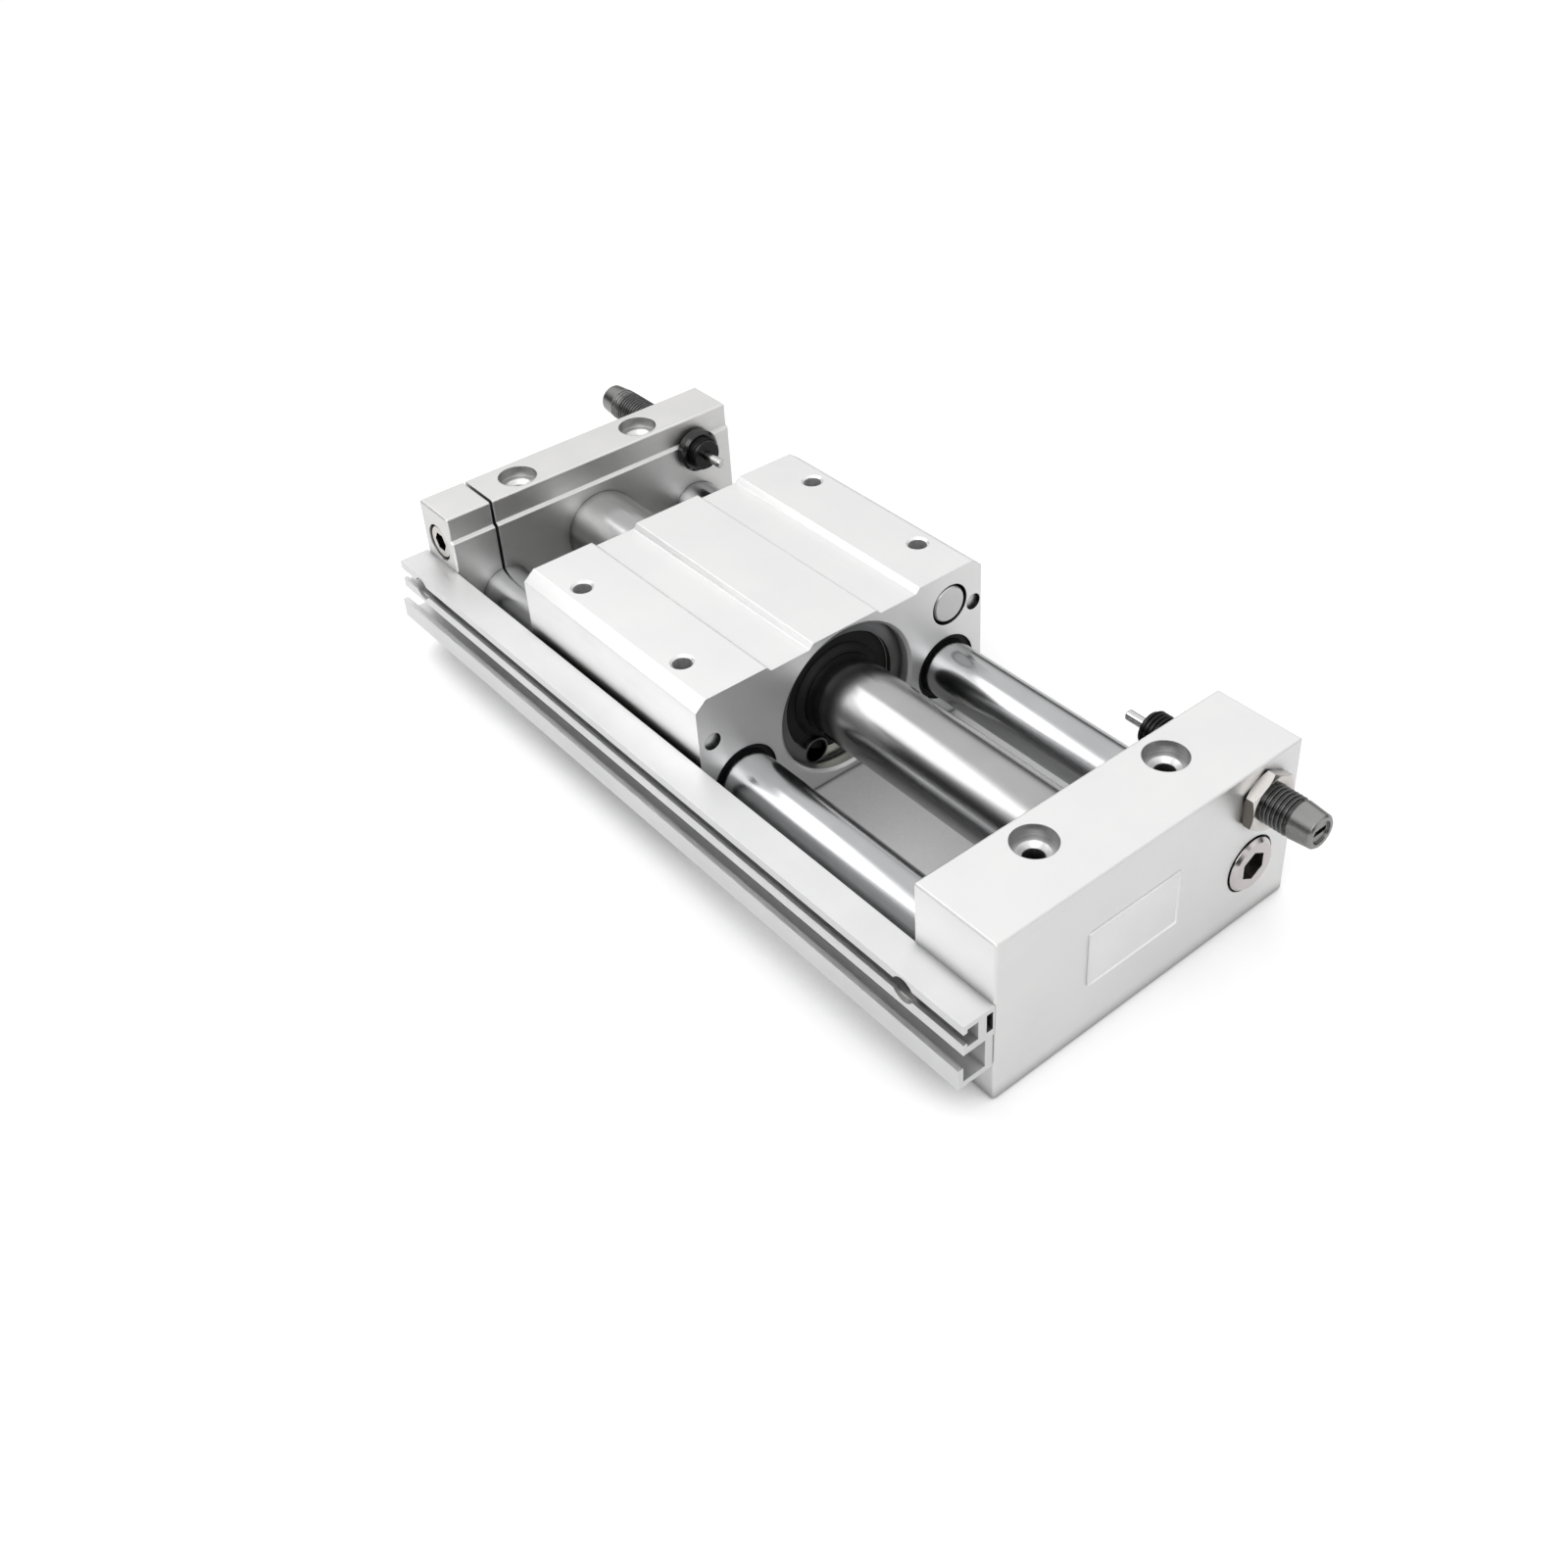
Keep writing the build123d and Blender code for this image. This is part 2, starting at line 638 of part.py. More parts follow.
# Switch rail: one extruded section, notched for its screws
rail_start = clamp_outer_face - rail_overhang
rail_length = port_outer_face - rail_start
with BuildPart() as switch_rail:
    with BuildSketch(cross_plane(rail_start, rail_side, 0)):
        closed_outline(
            (0, rail_top),
            (-rail_reach, rail_top),
            (-rail_reach, rail_roof - rail_lip),
            (-rail_reach + rail_lip_width, rail_roof - rail_lip),
            (-rail_reach + rail_lip_width, rail_roof),
            (-rail_upper_back, rail_roof),
            (-rail_upper_back, rail_shelf_top),
            (-rail_reach + rail_lip_width, rail_shelf_top),
            (-rail_reach + rail_lip_width, rail_shelf_top + rail_lip),
            (-rail_reach, rail_shelf_top + rail_lip),
            (-rail_reach, rail_shelf_bottom),
            (-rail_lower_back, rail_shelf_bottom),
            (-rail_lower_back, rail_foot_top),
            (-rail_foot_reach + rail_foot_lip_width, rail_foot_top),
            (-rail_foot_reach + rail_foot_lip_width, rail_foot_lip_top),
            (-rail_foot_reach, rail_foot_lip_top),
            (-rail_foot_reach, rail_bottom),
            (-rail_relief, rail_bottom),
            (-rail_relief, rail_shelf_bottom),
            (0, rail_shelf_bottom),
        )
        with Locations(
            (
                -(rail_cell_gap + rail_cell_reach) / 2,
                (rail_shelf_top + rail_roof) / 2,
            )
        ):
            Rectangle(
                rail_cell_reach - rail_cell_gap,
                rail_upper_groove,
                mode=Mode.SUBTRACT,
            )
    extrude(amount=rail_length)
    for end_name, end, reach in ends:
        screw_x = end * (inner_face + rail_screw_inset)
        with BuildSketch(side_plane(rail_side - rail_reach, screw_x, rail_screw_z)):
            Circle(rail_notch_r)
        extrude(amount=rail_lip_width, mode=Mode.SUBTRACT)
        with BuildSketch(side_plane(rail_side - rail_upper_back, screw_x, rail_screw_z)):
            Circle(rail_screw_r + seat_gap)
        extrude(amount=rail_upper_back, mode=Mode.SUBTRACT)
switch_rail.part.label = "switch_rail"
export_step(switch_rail.part, "parts/switch_rail.step")

# Screws that hold the rail, their heads in the upper groove
with BuildPart() as rail_screws:
    for end_name, end, reach in ends:
        screw_x = end * (inner_face + rail_screw_inset)
        head_y = rail_side - rail_upper_back
        with BuildSketch(side_plane(head_y, screw_x, rail_screw_z)):
            Circle(rail_head_r)
        extrude(amount=-rail_head_length)
        with BuildSketch(side_plane(head_y, screw_x, rail_screw_z)):
            Circle(rail_screw_r)
        extrude(amount=rail_screw_length)
        with BuildSketch(side_plane(head_y - rail_head_length, screw_x, rail_screw_z)):
            RegularPolygon(rail_head_socket / 2, 6, major_radius=False)
        extrude(amount=rail_head_length / 2, mode=Mode.SUBTRACT)
rail_screws.part.label = "rail_screws"
export_step(rail_screws.part, "parts/rail_screws.step")

# Slider block: extruded section with a relieved top, bored for tube and shafts
slider_start = slider_rest_offset - slider_length / 2
slider_faces = {
    1: slider_rest_offset + slider_length / 2,
    -1: slider_rest_offset - slider_length / 2,
}
strip_z = slider_top - strip_depth
ring_seat = stack_half + holder_length + end_plate_length
with BuildPart() as slider_block:
    with BuildSketch(cross_plane(slider_start)):
        closed_outline(
            (0, slider_bottom),
            (half_width - slider_foot_edge, slider_bottom),
            (half_width, slider_bottom + slider_foot_edge),
            (half_width, slider_top - slider_corner_z),
            (half_width - slider_corner_y, slider_top),
            (pad_inner_y, slider_top),
            (pad_inner_y - strip_bevel, strip_z),
            (centre_band_y + strip_bevel, strip_z),
            (centre_band_y, slider_top),
            (0, slider_top),
        )
        mirror(about=Plane.YZ)
        with Locations((0, tube_z)):
            Circle(slider_bore_r, mode=Mode.SUBTRACT)
        with Locations((-shaft_y, shaft_z), (shaft_y, shaft_z)):
            Circle(slider_relief_r, mode=Mode.SUBTRACT)
    extrude(amount=slider_length)
    for end_name, end, reach in ends:
        face_x = slider_faces[end]
        mouth_edges = slider_block.edges().filter_by(GeomType.CIRCLE)
        mouth_edges = mouth_edges.filter_by_position(Axis.X, face_x - seat_gap, face_x + seat_gap)
        chamfer(mouth_edges.sort_by(SortBy.RADIUS)[-1], slider_bore_edge)
    for end_name, end, reach in ends:
        face_x = slider_faces[end]
        with BuildSketch(cross_plane(face_x)):
            with Locations((-shaft_y, shaft_z), (shaft_y, shaft_z)):
                Circle(slider_shaft_bore_r)
        extrude(
            amount=-end * (wiper_recess + wiper_length + bushing_length), mode=Mode.SUBTRACT
        )
        with BuildSketch(cross_plane(face_x)):
            with Locations((absorber_y, absorber_z)):
                Circle(disc_r + disc_gap)
        extrude(amount=-end * disc_length, mode=Mode.SUBTRACT)
        with BuildSketch(cross_plane(face_x)):
            with Locations((magnet_rail_y, magnet_z), (magnet_open_y, magnet_z)):
                Circle(magnet_r + seat_gap)
        extrude(amount=-end * (magnet_recess + magnet_length), mode=Mode.SUBTRACT)
        with BuildSketch(cross_plane(slider_rest_offset + end * ring_seat, 0, tube_z)):
            Circle(slider_bore_r + ring_groove_extra)
        extrude(amount=end * ring_thickness, mode=Mode.SUBTRACT)
    with Locations(Plane.XY.offset(slider_top)):
        with Locations((slider_rest_offset, 0)):
            with GridLocations(table_pitch_x, table_pitch_y, 2, 2):
                CounterSinkHole(
                    table_hole_r, table_hole_r + table_hole_mouth, table_hole_depth, 90
                )
slider_block.part.label = "slider_block"
export_step(slider_block.part, "parts/slider_block.step")

# Plain bushings and wipers at both ends of both shaft bores
shaft_sides = (("rail_side", -shaft_y), ("open_side", shaft_y))
for side_name, side_y in shaft_sides:
    for end_name, end, reach in ends:
        bushing_face = slider_faces[end] - end * (wiper_recess + wiper_length)
        with BuildPart() as slide_bushing:
            with BuildSketch(cross_plane(bushing_face, side_y, shaft_z)):
                ring(bushing_bore_r, shaft_r + running_gap)
            extrude(amount=-end * bushing_length)
        bushing_name = f"slide_bushing_{side_name}_{end_name}"
        slide_bushing.part.label = bushing_name
        export_step(slide_bushing.part, f"parts/{bushing_name}.step")

with BuildPart() as shaft_wipers:
    for side_name, side_y in shaft_sides:
        for end_name, end, reach in ends:
            wiper_face = slider_faces[end] - end * wiper_recess
            with BuildSketch(cross_plane(wiper_face, side_y, shaft_z)):
                ring(bushing_bore_r, shaft_r + 2 * running_gap)
            extrude(amount=-end * wiper_length)
shaft_wipers.part.label = "shaft_wipers"
export_step(shaft_wipers.part, "parts/shaft_wipers.step")

# Strike discs that meet the absorber rods
for end_name, end, reach in ends:
    with BuildPart() as strike_disc:
        with BuildSketch(cross_plane(slider_faces[end] - end * disc_length, absorber_y, absorber_z)):
            Circle(disc_r)
        extrude(amount=end * disc_length)
        struck_face = strike_disc.faces().sort_by(Axis.X)[-1 if end > 0 else 0]
        chamfer(struck_face.edges(), disc_edge)
    disc_name = f"strike_disc_{end_name}"
    strike_disc.part.label = disc_name
    export_step(strike_disc.part, f"parts/{disc_name}.step")

# Switch magnets in the slider's end faces
with BuildPart() as switch_magnets:
    for end_name, end, reach in ends:
        with BuildSketch(cross_plane(slider_faces[end] - end * magnet_recess)):
            with Locations((magnet_rail_y, magnet_z), (magnet_open_y, magnet_z)):
                Circle(magnet_r)
        extrude(amount=-end * magnet_length)
switch_magnets.part.label = "switch_magnets"
export_step(switch_magnets.part, "parts/switch_magnets.step")

# Magnet stacks: ring magnets between iron yokes, around the tube and on the piston
stacks = (
    ("outer", outer_ring_r, outer_ring_r, outer_ring_inner_r),
    ("inner", inner_magnet_r, inner_yoke_r, piston_shaft_r + seat_gap),
)
for stack_name, magnet_ring_r, yoke_ring_r, hole_r in stacks:
    with BuildPart() as stack_magnets:
        for place in range(magnet_count):
            magnet_start = slider_rest_offset - stack_half + yoke_length + place * stack_pitch
            with BuildSketch(cross_plane(magnet_start, 0, tube_z)):
                ring(magnet_ring_r, hole_r)
            extrude(amount=magnet_ring_length - seat_gap)
    magnets_name = f"{stack_name}_magnets"
    stack_magnets.part.label = magnets_name
    export_step(stack_magnets.part, f"parts/{magnets_name}.step")

    with BuildPart() as stack_yokes:
        for place in range(magnet_count + 1):
            yoke_start = slider_rest_offset - stack_half + place * stack_pitch
            with BuildSketch(cross_plane(yoke_start, 0, tube_z)):
                ring(yoke_ring_r, hole_r)
            extrude(amount=yoke_length - seat_gap)
    yokes_name = f"{stack_name}_yokes"
    stack_yokes.part.label = yokes_name
    export_step(stack_yokes.part, f"parts/{yokes_name}.step")

# Bearing holders with wear rings, end plates, scrapers and retaining rings on the tube
wear_outer_r = tube_r + running_gap + wear_wall
lug_angle = math.radians(270 - ring_gap_angle / 2)
lug_reach = slider_bore_r - ring_lug_r
lug_place = (lug_reach * math.cos(lug_angle), lug_reach * math.sin(lug_angle))
for end_name, end, reach in ends:
    holder_start = slider_rest_offset + end * stack_half
    with BuildPart() as bearing_holder:
        with BuildSketch(cross_plane(holder_start, 0, tube_z)):
            ring(outer_ring_r, wear_outer_r + seat_gap)
        extrude(amount=end * holder_length)
    holder_name = f"bearing_holder_{end_name}"
    bearing_holder.part.label = holder_name
    export_step(bearing_holder.part, f"parts/{holder_name}.step")

    with BuildPart() as tube_wear_ring:
        with BuildSketch(cross_plane(holder_start, 0, tube_z)):
            ring(wear_outer_r, tube_r + running_gap)
        extrude(amount=end * wear_length)
    wear_name = f"tube_wear_ring_{end_name}"
    tube_wear_ring.part.label = wear_name
    export_step(tube_wear_ring.part, f"parts/{wear_name}.step")

    plate_start = holder_start + end * holder_length
    plate_face = plate_start + end * end_plate_length
    with BuildPart() as scraper_plate:
        with BuildSketch(cross_plane(plate_start, 0, tube_z)):
            ring(outer_ring_r, scraper_r + seat_gap)
            with Locations(lug_place, (-lug_place[0], lug_place[1])):
                Circle(ring_lug_hole_r, mode=Mode.SUBTRACT)
        extrude(amount=end * end_plate_length)
    plate_name = f"scraper_plate_{end_name}"
    scraper_plate.part.label = plate_name
    export_step(scraper_plate.part, f"parts/{plate_name}.step")

    scraper_front = plate_start + end * scraper_length
    with BuildPart() as tube_scraper:
        with BuildSketch(axial_plane(0, tube_z)):
            closed_outline(
                (plate_start, tube_r + 2 * running_gap),
                (plate_start, scraper_r),
                (plate_face - end * seat_gap, scraper_r),
                (plate_face - end * seat_gap, scraper_lip_r),
                (scraper_front - end * scraper_lip, scraper_lip_r),
                (scraper_front, tube_r + scraper_lip),
                (scraper_front, tube_r + 2 * running_gap),
            )
        revolve(axis=stroke_axis(0, tube_z))
    scraper_name = f"tube_scraper_{end_name}"
    tube_scraper.part.label = scraper_name
    export_step(tube_scraper.part, f"parts/{scraper_name}.step")

    with BuildPart() as retaining_ring:
        with BuildSketch(cross_plane(plate_face, 0, tube_z)):
            Circle(slider_bore_r + ring_groove_extra - seat_gap)
            Circle(slider_bore_r - ring_width, mode=Mode.SUBTRACT)
            closed_outline(
                (0, 0),
                (lug_place[0] * 2, lug_place[1] * 2),
                (-lug_place[0] * 2, lug_place[1] * 2),
                mode=Mode.SUBTRACT,
            )
            with Locations(lug_place, (-lug_place[0], lug_place[1])):
                Circle(ring_lug_r)
                Circle(ring_lug_hole_r, mode=Mode.SUBTRACT)
        extrude(amount=end * (ring_thickness - seat_gap))
    retaining_name = f"retaining_ring_{end_name}"
    retaining_ring.part.label = retaining_name
    export_step(retaining_ring.part, f"parts/{retaining_name}.step")

# Piston: threaded shaft, two grooved ends with seals and wear rings, nuts
piston_half = stack_half + piston_end_length + piston_nut_length + piston_shaft_tail
with BuildPart() as piston_shaft:
    with BuildSketch(axial_plane(0, tube_z)):
        chamfered_bar(
            slider_rest_offset - piston_half,
            slider_rest_offset + piston_half,
            piston_shaft_r,
            block_edge,
        )
    revolve(axis=stroke_axis(0, tube_z))
piston_shaft.part.label = "piston_shaft"
export_step(piston_shaft.part, "parts/piston_shaft.step")

for end_name, end, reach in ends:
    piston_start = slider_rest_offset + end * stack_half
    piston_face = piston_start + end * piston_end_length
    wear_start = piston_start + end * piston_wear_inset
    wear_finish = wear_start + end * piston_wear_length
    seal_start = piston_start + end * piston_seal_inset
    seal_finish = seal_start + end * piston_seal_length
    with BuildPart() as piston_end:
        with BuildSketch(axial_plane(0, tube_z)):
            closed_outline(
                (piston_start, piston_shaft_r + seat_gap),
                (piston_start, piston_r),
                (wear_start, piston_r),
                (wear_start, piston_groove_r),
                (wear_finish, piston_groove_r),
                (wear_finish, piston_r),
                (seal_start, piston_r),
                (seal_start, piston_groove_r),
                (seal_finish, piston_groove_r),
                (seal_finish, piston_r),
                (piston_face - end * block_edge, piston_r),
                (piston_face, piston_r - block_edge),
                (piston_face, piston_shaft_r + seat_gap),
            )
        revolve(axis=stroke_axis(0, tube_z))
    piston_name = f"piston_{end_name}"
    piston_end.part.label = piston_name
    export_step(piston_end.part, f"parts/{piston_name}.step")

    with BuildPart() as piston_wear_ring:
        with BuildSketch(cross_plane(wear_start + end * seat_gap, 0, tube_z)):
            ring(bore_r - running_gap, piston_groove_r + seat_gap)
        extrude(amount=end * (piston_wear_length - 2 * seat_gap))
    piston_wear_name = f"piston_wear_ring_{end_name}"
    piston_wear_ring.part.label = piston_wear_name
    export_step(piston_wear_ring.part, f"parts/{piston_wear_name}.step")

    with BuildPart() as piston_seal:
        with BuildSketch(axial_plane(0, tube_z)):
            closed_outline(
                (seal_start + end * seat_gap, piston_groove_r + seat_gap),
                (seal_start + end * seat_gap, piston_r - running_gap),
                (seal_finish - end * seat_gap, bore_r - running_gap),
                (seal_finish - end * seat_gap, piston_groove_r + seat_gap),
            )
        revolve(axis=stroke_axis(0, tube_z))
    seal_name = f"piston_seal_{end_name}"
    piston_seal.part.label = seal_name
    export_step(piston_seal.part, f"parts/{seal_name}.step")

with BuildPart() as piston_nuts:
    for end_name, end, reach in ends:
        nut_start = slider_rest_offset + end * (stack_half + piston_end_length)
        with BuildSketch(cross_plane(nut_start, 0, tube_z)):
            RegularPolygon(piston_nut_flats / 2, 6, major_radius=False)
            Circle(piston_shaft_r + seat_gap, mode=Mode.SUBTRACT)
        extrude(amount=end * piston_nut_length)
piston_nuts.part.label = "piston_nuts"
export_step(piston_nuts.part, "parts/piston_nuts.step")
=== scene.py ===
import json
import math

import bpy
from mathutils import Matrix, Vector

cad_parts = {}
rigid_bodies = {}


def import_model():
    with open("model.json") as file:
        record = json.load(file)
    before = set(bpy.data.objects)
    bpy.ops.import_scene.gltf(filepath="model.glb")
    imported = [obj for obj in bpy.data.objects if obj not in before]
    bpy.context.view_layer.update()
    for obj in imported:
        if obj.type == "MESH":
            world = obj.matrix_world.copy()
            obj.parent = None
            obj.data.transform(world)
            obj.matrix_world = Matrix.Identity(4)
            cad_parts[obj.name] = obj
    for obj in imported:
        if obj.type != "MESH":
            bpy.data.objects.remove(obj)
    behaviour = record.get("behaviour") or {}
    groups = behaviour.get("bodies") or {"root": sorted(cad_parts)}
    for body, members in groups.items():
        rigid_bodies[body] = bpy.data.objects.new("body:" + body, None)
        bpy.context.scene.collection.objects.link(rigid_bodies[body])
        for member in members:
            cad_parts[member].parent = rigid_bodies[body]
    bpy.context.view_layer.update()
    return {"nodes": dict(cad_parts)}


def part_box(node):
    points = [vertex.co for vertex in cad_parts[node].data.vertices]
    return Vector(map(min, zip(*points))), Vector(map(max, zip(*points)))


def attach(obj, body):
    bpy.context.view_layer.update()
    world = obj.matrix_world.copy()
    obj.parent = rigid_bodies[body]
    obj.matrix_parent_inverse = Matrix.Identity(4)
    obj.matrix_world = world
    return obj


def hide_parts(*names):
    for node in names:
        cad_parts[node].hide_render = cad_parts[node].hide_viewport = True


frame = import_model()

MM = 0.001

# Places read from the frame
PORT_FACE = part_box("port_end_block")[1][0]
PORT_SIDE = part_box("port_end_block")[1][1]
ABSORBER_LOW, ABSORBER_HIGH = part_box("absorber_body_port_end")
ABSORBER_Y = (ABSORBER_LOW[1] + ABSORBER_HIGH[1]) / 2
ABSORBER_Z = (ABSORBER_LOW[2] + ABSORBER_HIGH[2]) / 2

# Places and sizes inside the CAD nodes
ABSORBER_LENGTH = 50.0 * MM
THREAD_OUTSIDE = 10.0 * MM
MAGNET_R = 2.3 * MM
MOUNT_X = 103.5 * MM
MOUNT_Y = 20.75 * MM
COUNTERBORE_R = 5.5 * MM
COUNTERBORE_FLOOR = 43.6 * MM
LUG_Y = 8.6 * MM
LUG_Z = 9.3 * MM
PORT_X = 111.1 * MM
PORT_HEIGHTS = {"a": 28.2 * MM, "b": 16.9 * MM}

# Axes that a shape is turned about
ABOUT_X = 0
ABOUT_Y = 1


# Modelling helpers

def deselect_everything():
    for item in bpy.context.view_layer.objects:
        item.select_set(False)
    bpy.context.view_layer.objects.active = None


def finish_piece(piece, name, body, finish, angle=35):
    """Bakes the piece's place into its mesh, turns its faces outwards and hands it over."""
    piece.name = name
    piece.data.name = name
    deselect_everything()
    piece.select_set(True)
    bpy.context.view_layer.objects.active = piece
    bpy.ops.object.transform_apply(location=True, rotation=True, scale=True)
    bpy.ops.object.mode_set(mode="EDIT")
    bpy.ops.mesh.select_all(action="SELECT")
    bpy.ops.mesh.remove_doubles(threshold=1e-7)
    bpy.ops.mesh.normals_make_consistent(inside=False)
    bpy.ops.object.mode_set(mode="OBJECT")
    bpy.ops.object.shade_smooth_by_angle(angle=math.radians(angle))
    piece.data.materials.clear()
    piece.data.materials.append(finish)
    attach(piece, body)
    deselect_everything()


def turned_shape(axis, centre, stations, sides, fill="NGON"):
    """A circle about an axis through the centre, pulled from station (place, radius) to station."""
    place, radius = stations[0]
    spot = list(centre)
    spot[axis] = place
    rotation = [0, 0, 0]
    rotation[1 - axis] = math.radians(90)
    deselect_everything()
    bpy.ops.mesh.primitive_circle_add(
        vertices=sides, radius=radius, fill_type=fill, location=spot, rotation=rotation)
    shape = bpy.context.active_object
    bpy.ops.object.transform_apply(location=True, rotation=True, scale=True)
    bpy.ops.object.mode_set(mode="EDIT")
    bpy.ops.mesh.select_all(action="SELECT")
    for next_place, next_radius in stations[1:]:
        step = [0, 0, 0]
        step[axis] = next_place - place
        bpy.ops.mesh.extrude_region_move(TRANSFORM_OT_translate={"value": step})
        stretch = [next_radius / radius] * 3
        stretch[axis] = 1
        spot[axis] = next_place
        bpy.ops.transform.resize(value=stretch, center_override=spot)
        place, radius = next_place, next_radius
    bpy.ops.object.mode_set(mode="OBJECT")
    return shape


def block(centre, size):
    """A rectangular block with its place and size in its mesh."""
    deselect_everything()
    bpy.ops.mesh.primitive_cube_add(size=1, location=centre)
    made = bpy.context.active_object
    bpy.ops.transform.resize(value=size)
    bpy.ops.object.transform_apply(location=True, rotation=True, scale=True)
    return made


def cut(piece, cutter):
    """Cuts one closed shape out of a piece and removes the cutter."""
    deselect_everything()
    for item in (piece, cutter):
        item.select_set(True)
        bpy.context.view_layer.objects.active = item
        bpy.ops.object.mode_set(mode="EDIT")
        bpy.ops.mesh.select_all(action="SELECT")
        bpy.ops.mesh.normals_make_consistent(inside=False)
        bpy.ops.object.mode_set(mode="OBJECT")
        item.select_set(False)
    piece.select_set(True)
    bpy.context.view_layer.objects.active = piece
    saw = piece.modifiers.new("saw", "BOOLEAN")
    saw.operation = "DIFFERENCE"
    saw.solver = "EXACT"
    saw.object = cutter
    bpy.ops.object.modifier_apply(modifier=saw.name)
    bpy.data.objects.remove(cutter, do_unlink=True)


def thread_ridges(start, pitch, count, root, crest, shares):
    """Stations (depth, radius) of thread ridges side by side; the shares divide one pitch."""
    foot, top, top_end, foot_end = shares
    stations = []
    for ridge in range(count):
        base = start + ridge * pitch
        stations.append((base + foot * pitch, root))
        stations.append((base + top * pitch, crest))
        stations.append((base + top_end * pitch, crest))
        stations.append((base + foot_end * pitch, root))
    return stations


# Node helpers

def math_node(tree, operation, first, second=None, third=None, clamp=False):
    """The result of a sum on sockets and constants."""
    node = tree.nodes.new("ShaderNodeMath")
    node.operation = operation
    node.use_clamp = clamp
    for index, value in enumerate((first, second, third)):
        if value is None:
            continue
        if hasattr(value, "is_linked"):
            tree.links.new(value, node.inputs[index])
        else:
            node.inputs[index].default_value = value
    return node.outputs[0]


def vector_node(tree, operation, first, second):
    """A vector sum of two sockets, or of a socket and a constant."""
    node = tree.nodes.new("ShaderNodeVectorMath")
    node.operation = operation
    tree.links.new(first, node.inputs[0])
    if hasattr(second, "is_linked"):
        tree.links.new(second, node.inputs[1])
    else:
        node.inputs[1].default_value = second
    return node


def object_coordinates(tree):
    return tree.nodes.new("ShaderNodeTexCoord").outputs["Object"]


def true_normal(tree):
    return tree.nodes.new("ShaderNodeNewGeometry").outputs["Normal"]


def split_vector(tree, vector):
    split = tree.nodes.new("ShaderNodeSeparateXYZ")
    tree.links.new(vector, split.inputs[0])
    return split.outputs


def spread(tree, value, low, high, floor=0.3, ceiling=0.7):
    """Maps a value between floor and ceiling to the range that a socket takes."""
    node = tree.nodes.new("ShaderNodeMapRange")
    node.inputs["From Min"].default_value = floor
    node.inputs["From Max"].default_value = ceiling
    node.inputs["To Min"].default_value = low
    node.inputs["To Max"].default_value = high
    tree.links.new(value, node.inputs["Value"])
    return node.outputs[0]


def rise(tree, value, start, end):
    """A mask that goes from 0 at the start to 1 at the end."""
    return spread(tree, value, 0.0, 1.0, floor=start, ceiling=end)


def blend_colours(tree, mask, first, second):
    """Mixes two colours, or a colour and a socket, by a mask."""
    mix = tree.nodes.new("ShaderNodeMix")
    mix.data_type = "RGBA"
    tree.links.new(mask, mix.inputs[0])
    for socket, value in ((mix.inputs[6], first), (mix.inputs[7], second)):
        if hasattr(value, "is_linked"):
            tree.links.new(value, socket)
        else:
            socket.default_value = (*value, 1.0)
    return mix.outputs[2]


def add_bump(tree, height, strength, distance=0.00005, normal=None):
    bump = tree.nodes.new("ShaderNodeBump")
    bump.inputs["Strength"].default_value = strength
    bump.inputs["Distance"].default_value = distance
    tree.links.new(height, bump.inputs["Height"])
    if normal is not None:
        tree.links.new(normal, bump.inputs["Normal"])
    return bump.outputs[0]


def new_group(name, inputs, outputs):
    group = bpy.data.node_groups.new(name, "ShaderNodeTree")
    for socket, kind, value in inputs:
        made = group.interface.new_socket(name=socket, in_out="INPUT", socket_type=kind)
        made.default_value = value
    for socket, kind in outputs:
        group.interface.new_socket(name=socket, in_out="OUTPUT", socket_type=kind)
    start = group.nodes.new("NodeGroupInput")
    end = group.nodes.new("NodeGroupOutput")
    return group, start, end


def use_group(tree, group, **values):
    node = tree.nodes.new("ShaderNodeGroup")
    node.node_tree = group
    for name, value in values.items():
        node.inputs[name.replace("_", " ")].default_value = value
    return node


def new_material(name):
    material = bpy.data.materials.new(name)
    material.use_nodes = True
    return material, material.node_tree, material.node_tree.nodes["Principled BSDF"]


# Shared effects

def make_edge_wear_and_highlight():
    """Bright edges, partly rubbed wear and partly a painted highlight: where the rounded normal
    leaves the true one.
    """
    group, start, end = new_group(
        "rubbed edges",
        [("Width", "NodeSocketFloat", 0.0003), ("Breakup", "NodeSocketFloat", 0.35)],
        [("Mask", "NodeSocketFloat"), ("Normal", "NodeSocketVector")])
    rounded = group.nodes.new("ShaderNodeBevel")
    rounded.samples = 4
    group.links.new(start.outputs["Width"], rounded.inputs["Radius"])
    lean = vector_node(group, "DOT_PRODUCT", rounded.outputs[0], true_normal(group))
    turn = math_node(group, "SUBTRACT", 1.0, lean.outputs["Value"])
    turn = math_node(group, "MULTIPLY", turn, 6.0, clamp=True)
    patches = group.nodes.new("ShaderNodeTexNoise")
    patches.inputs["Scale"].default_value = 700.0
    patches.inputs["Detail"].default_value = 3.0
    group.links.new(object_coordinates(group), patches.inputs["Vector"])
    broken = math_node(group, "MULTIPLY", patches.outputs[0], start.outputs["Breakup"])
    kept = math_node(group, "SUBTRACT", turn, broken, clamp=True)
    group.links.new(kept, end.inputs["Mask"])
    group.links.new(rounded.outputs[0], end.inputs["Normal"])
    return group


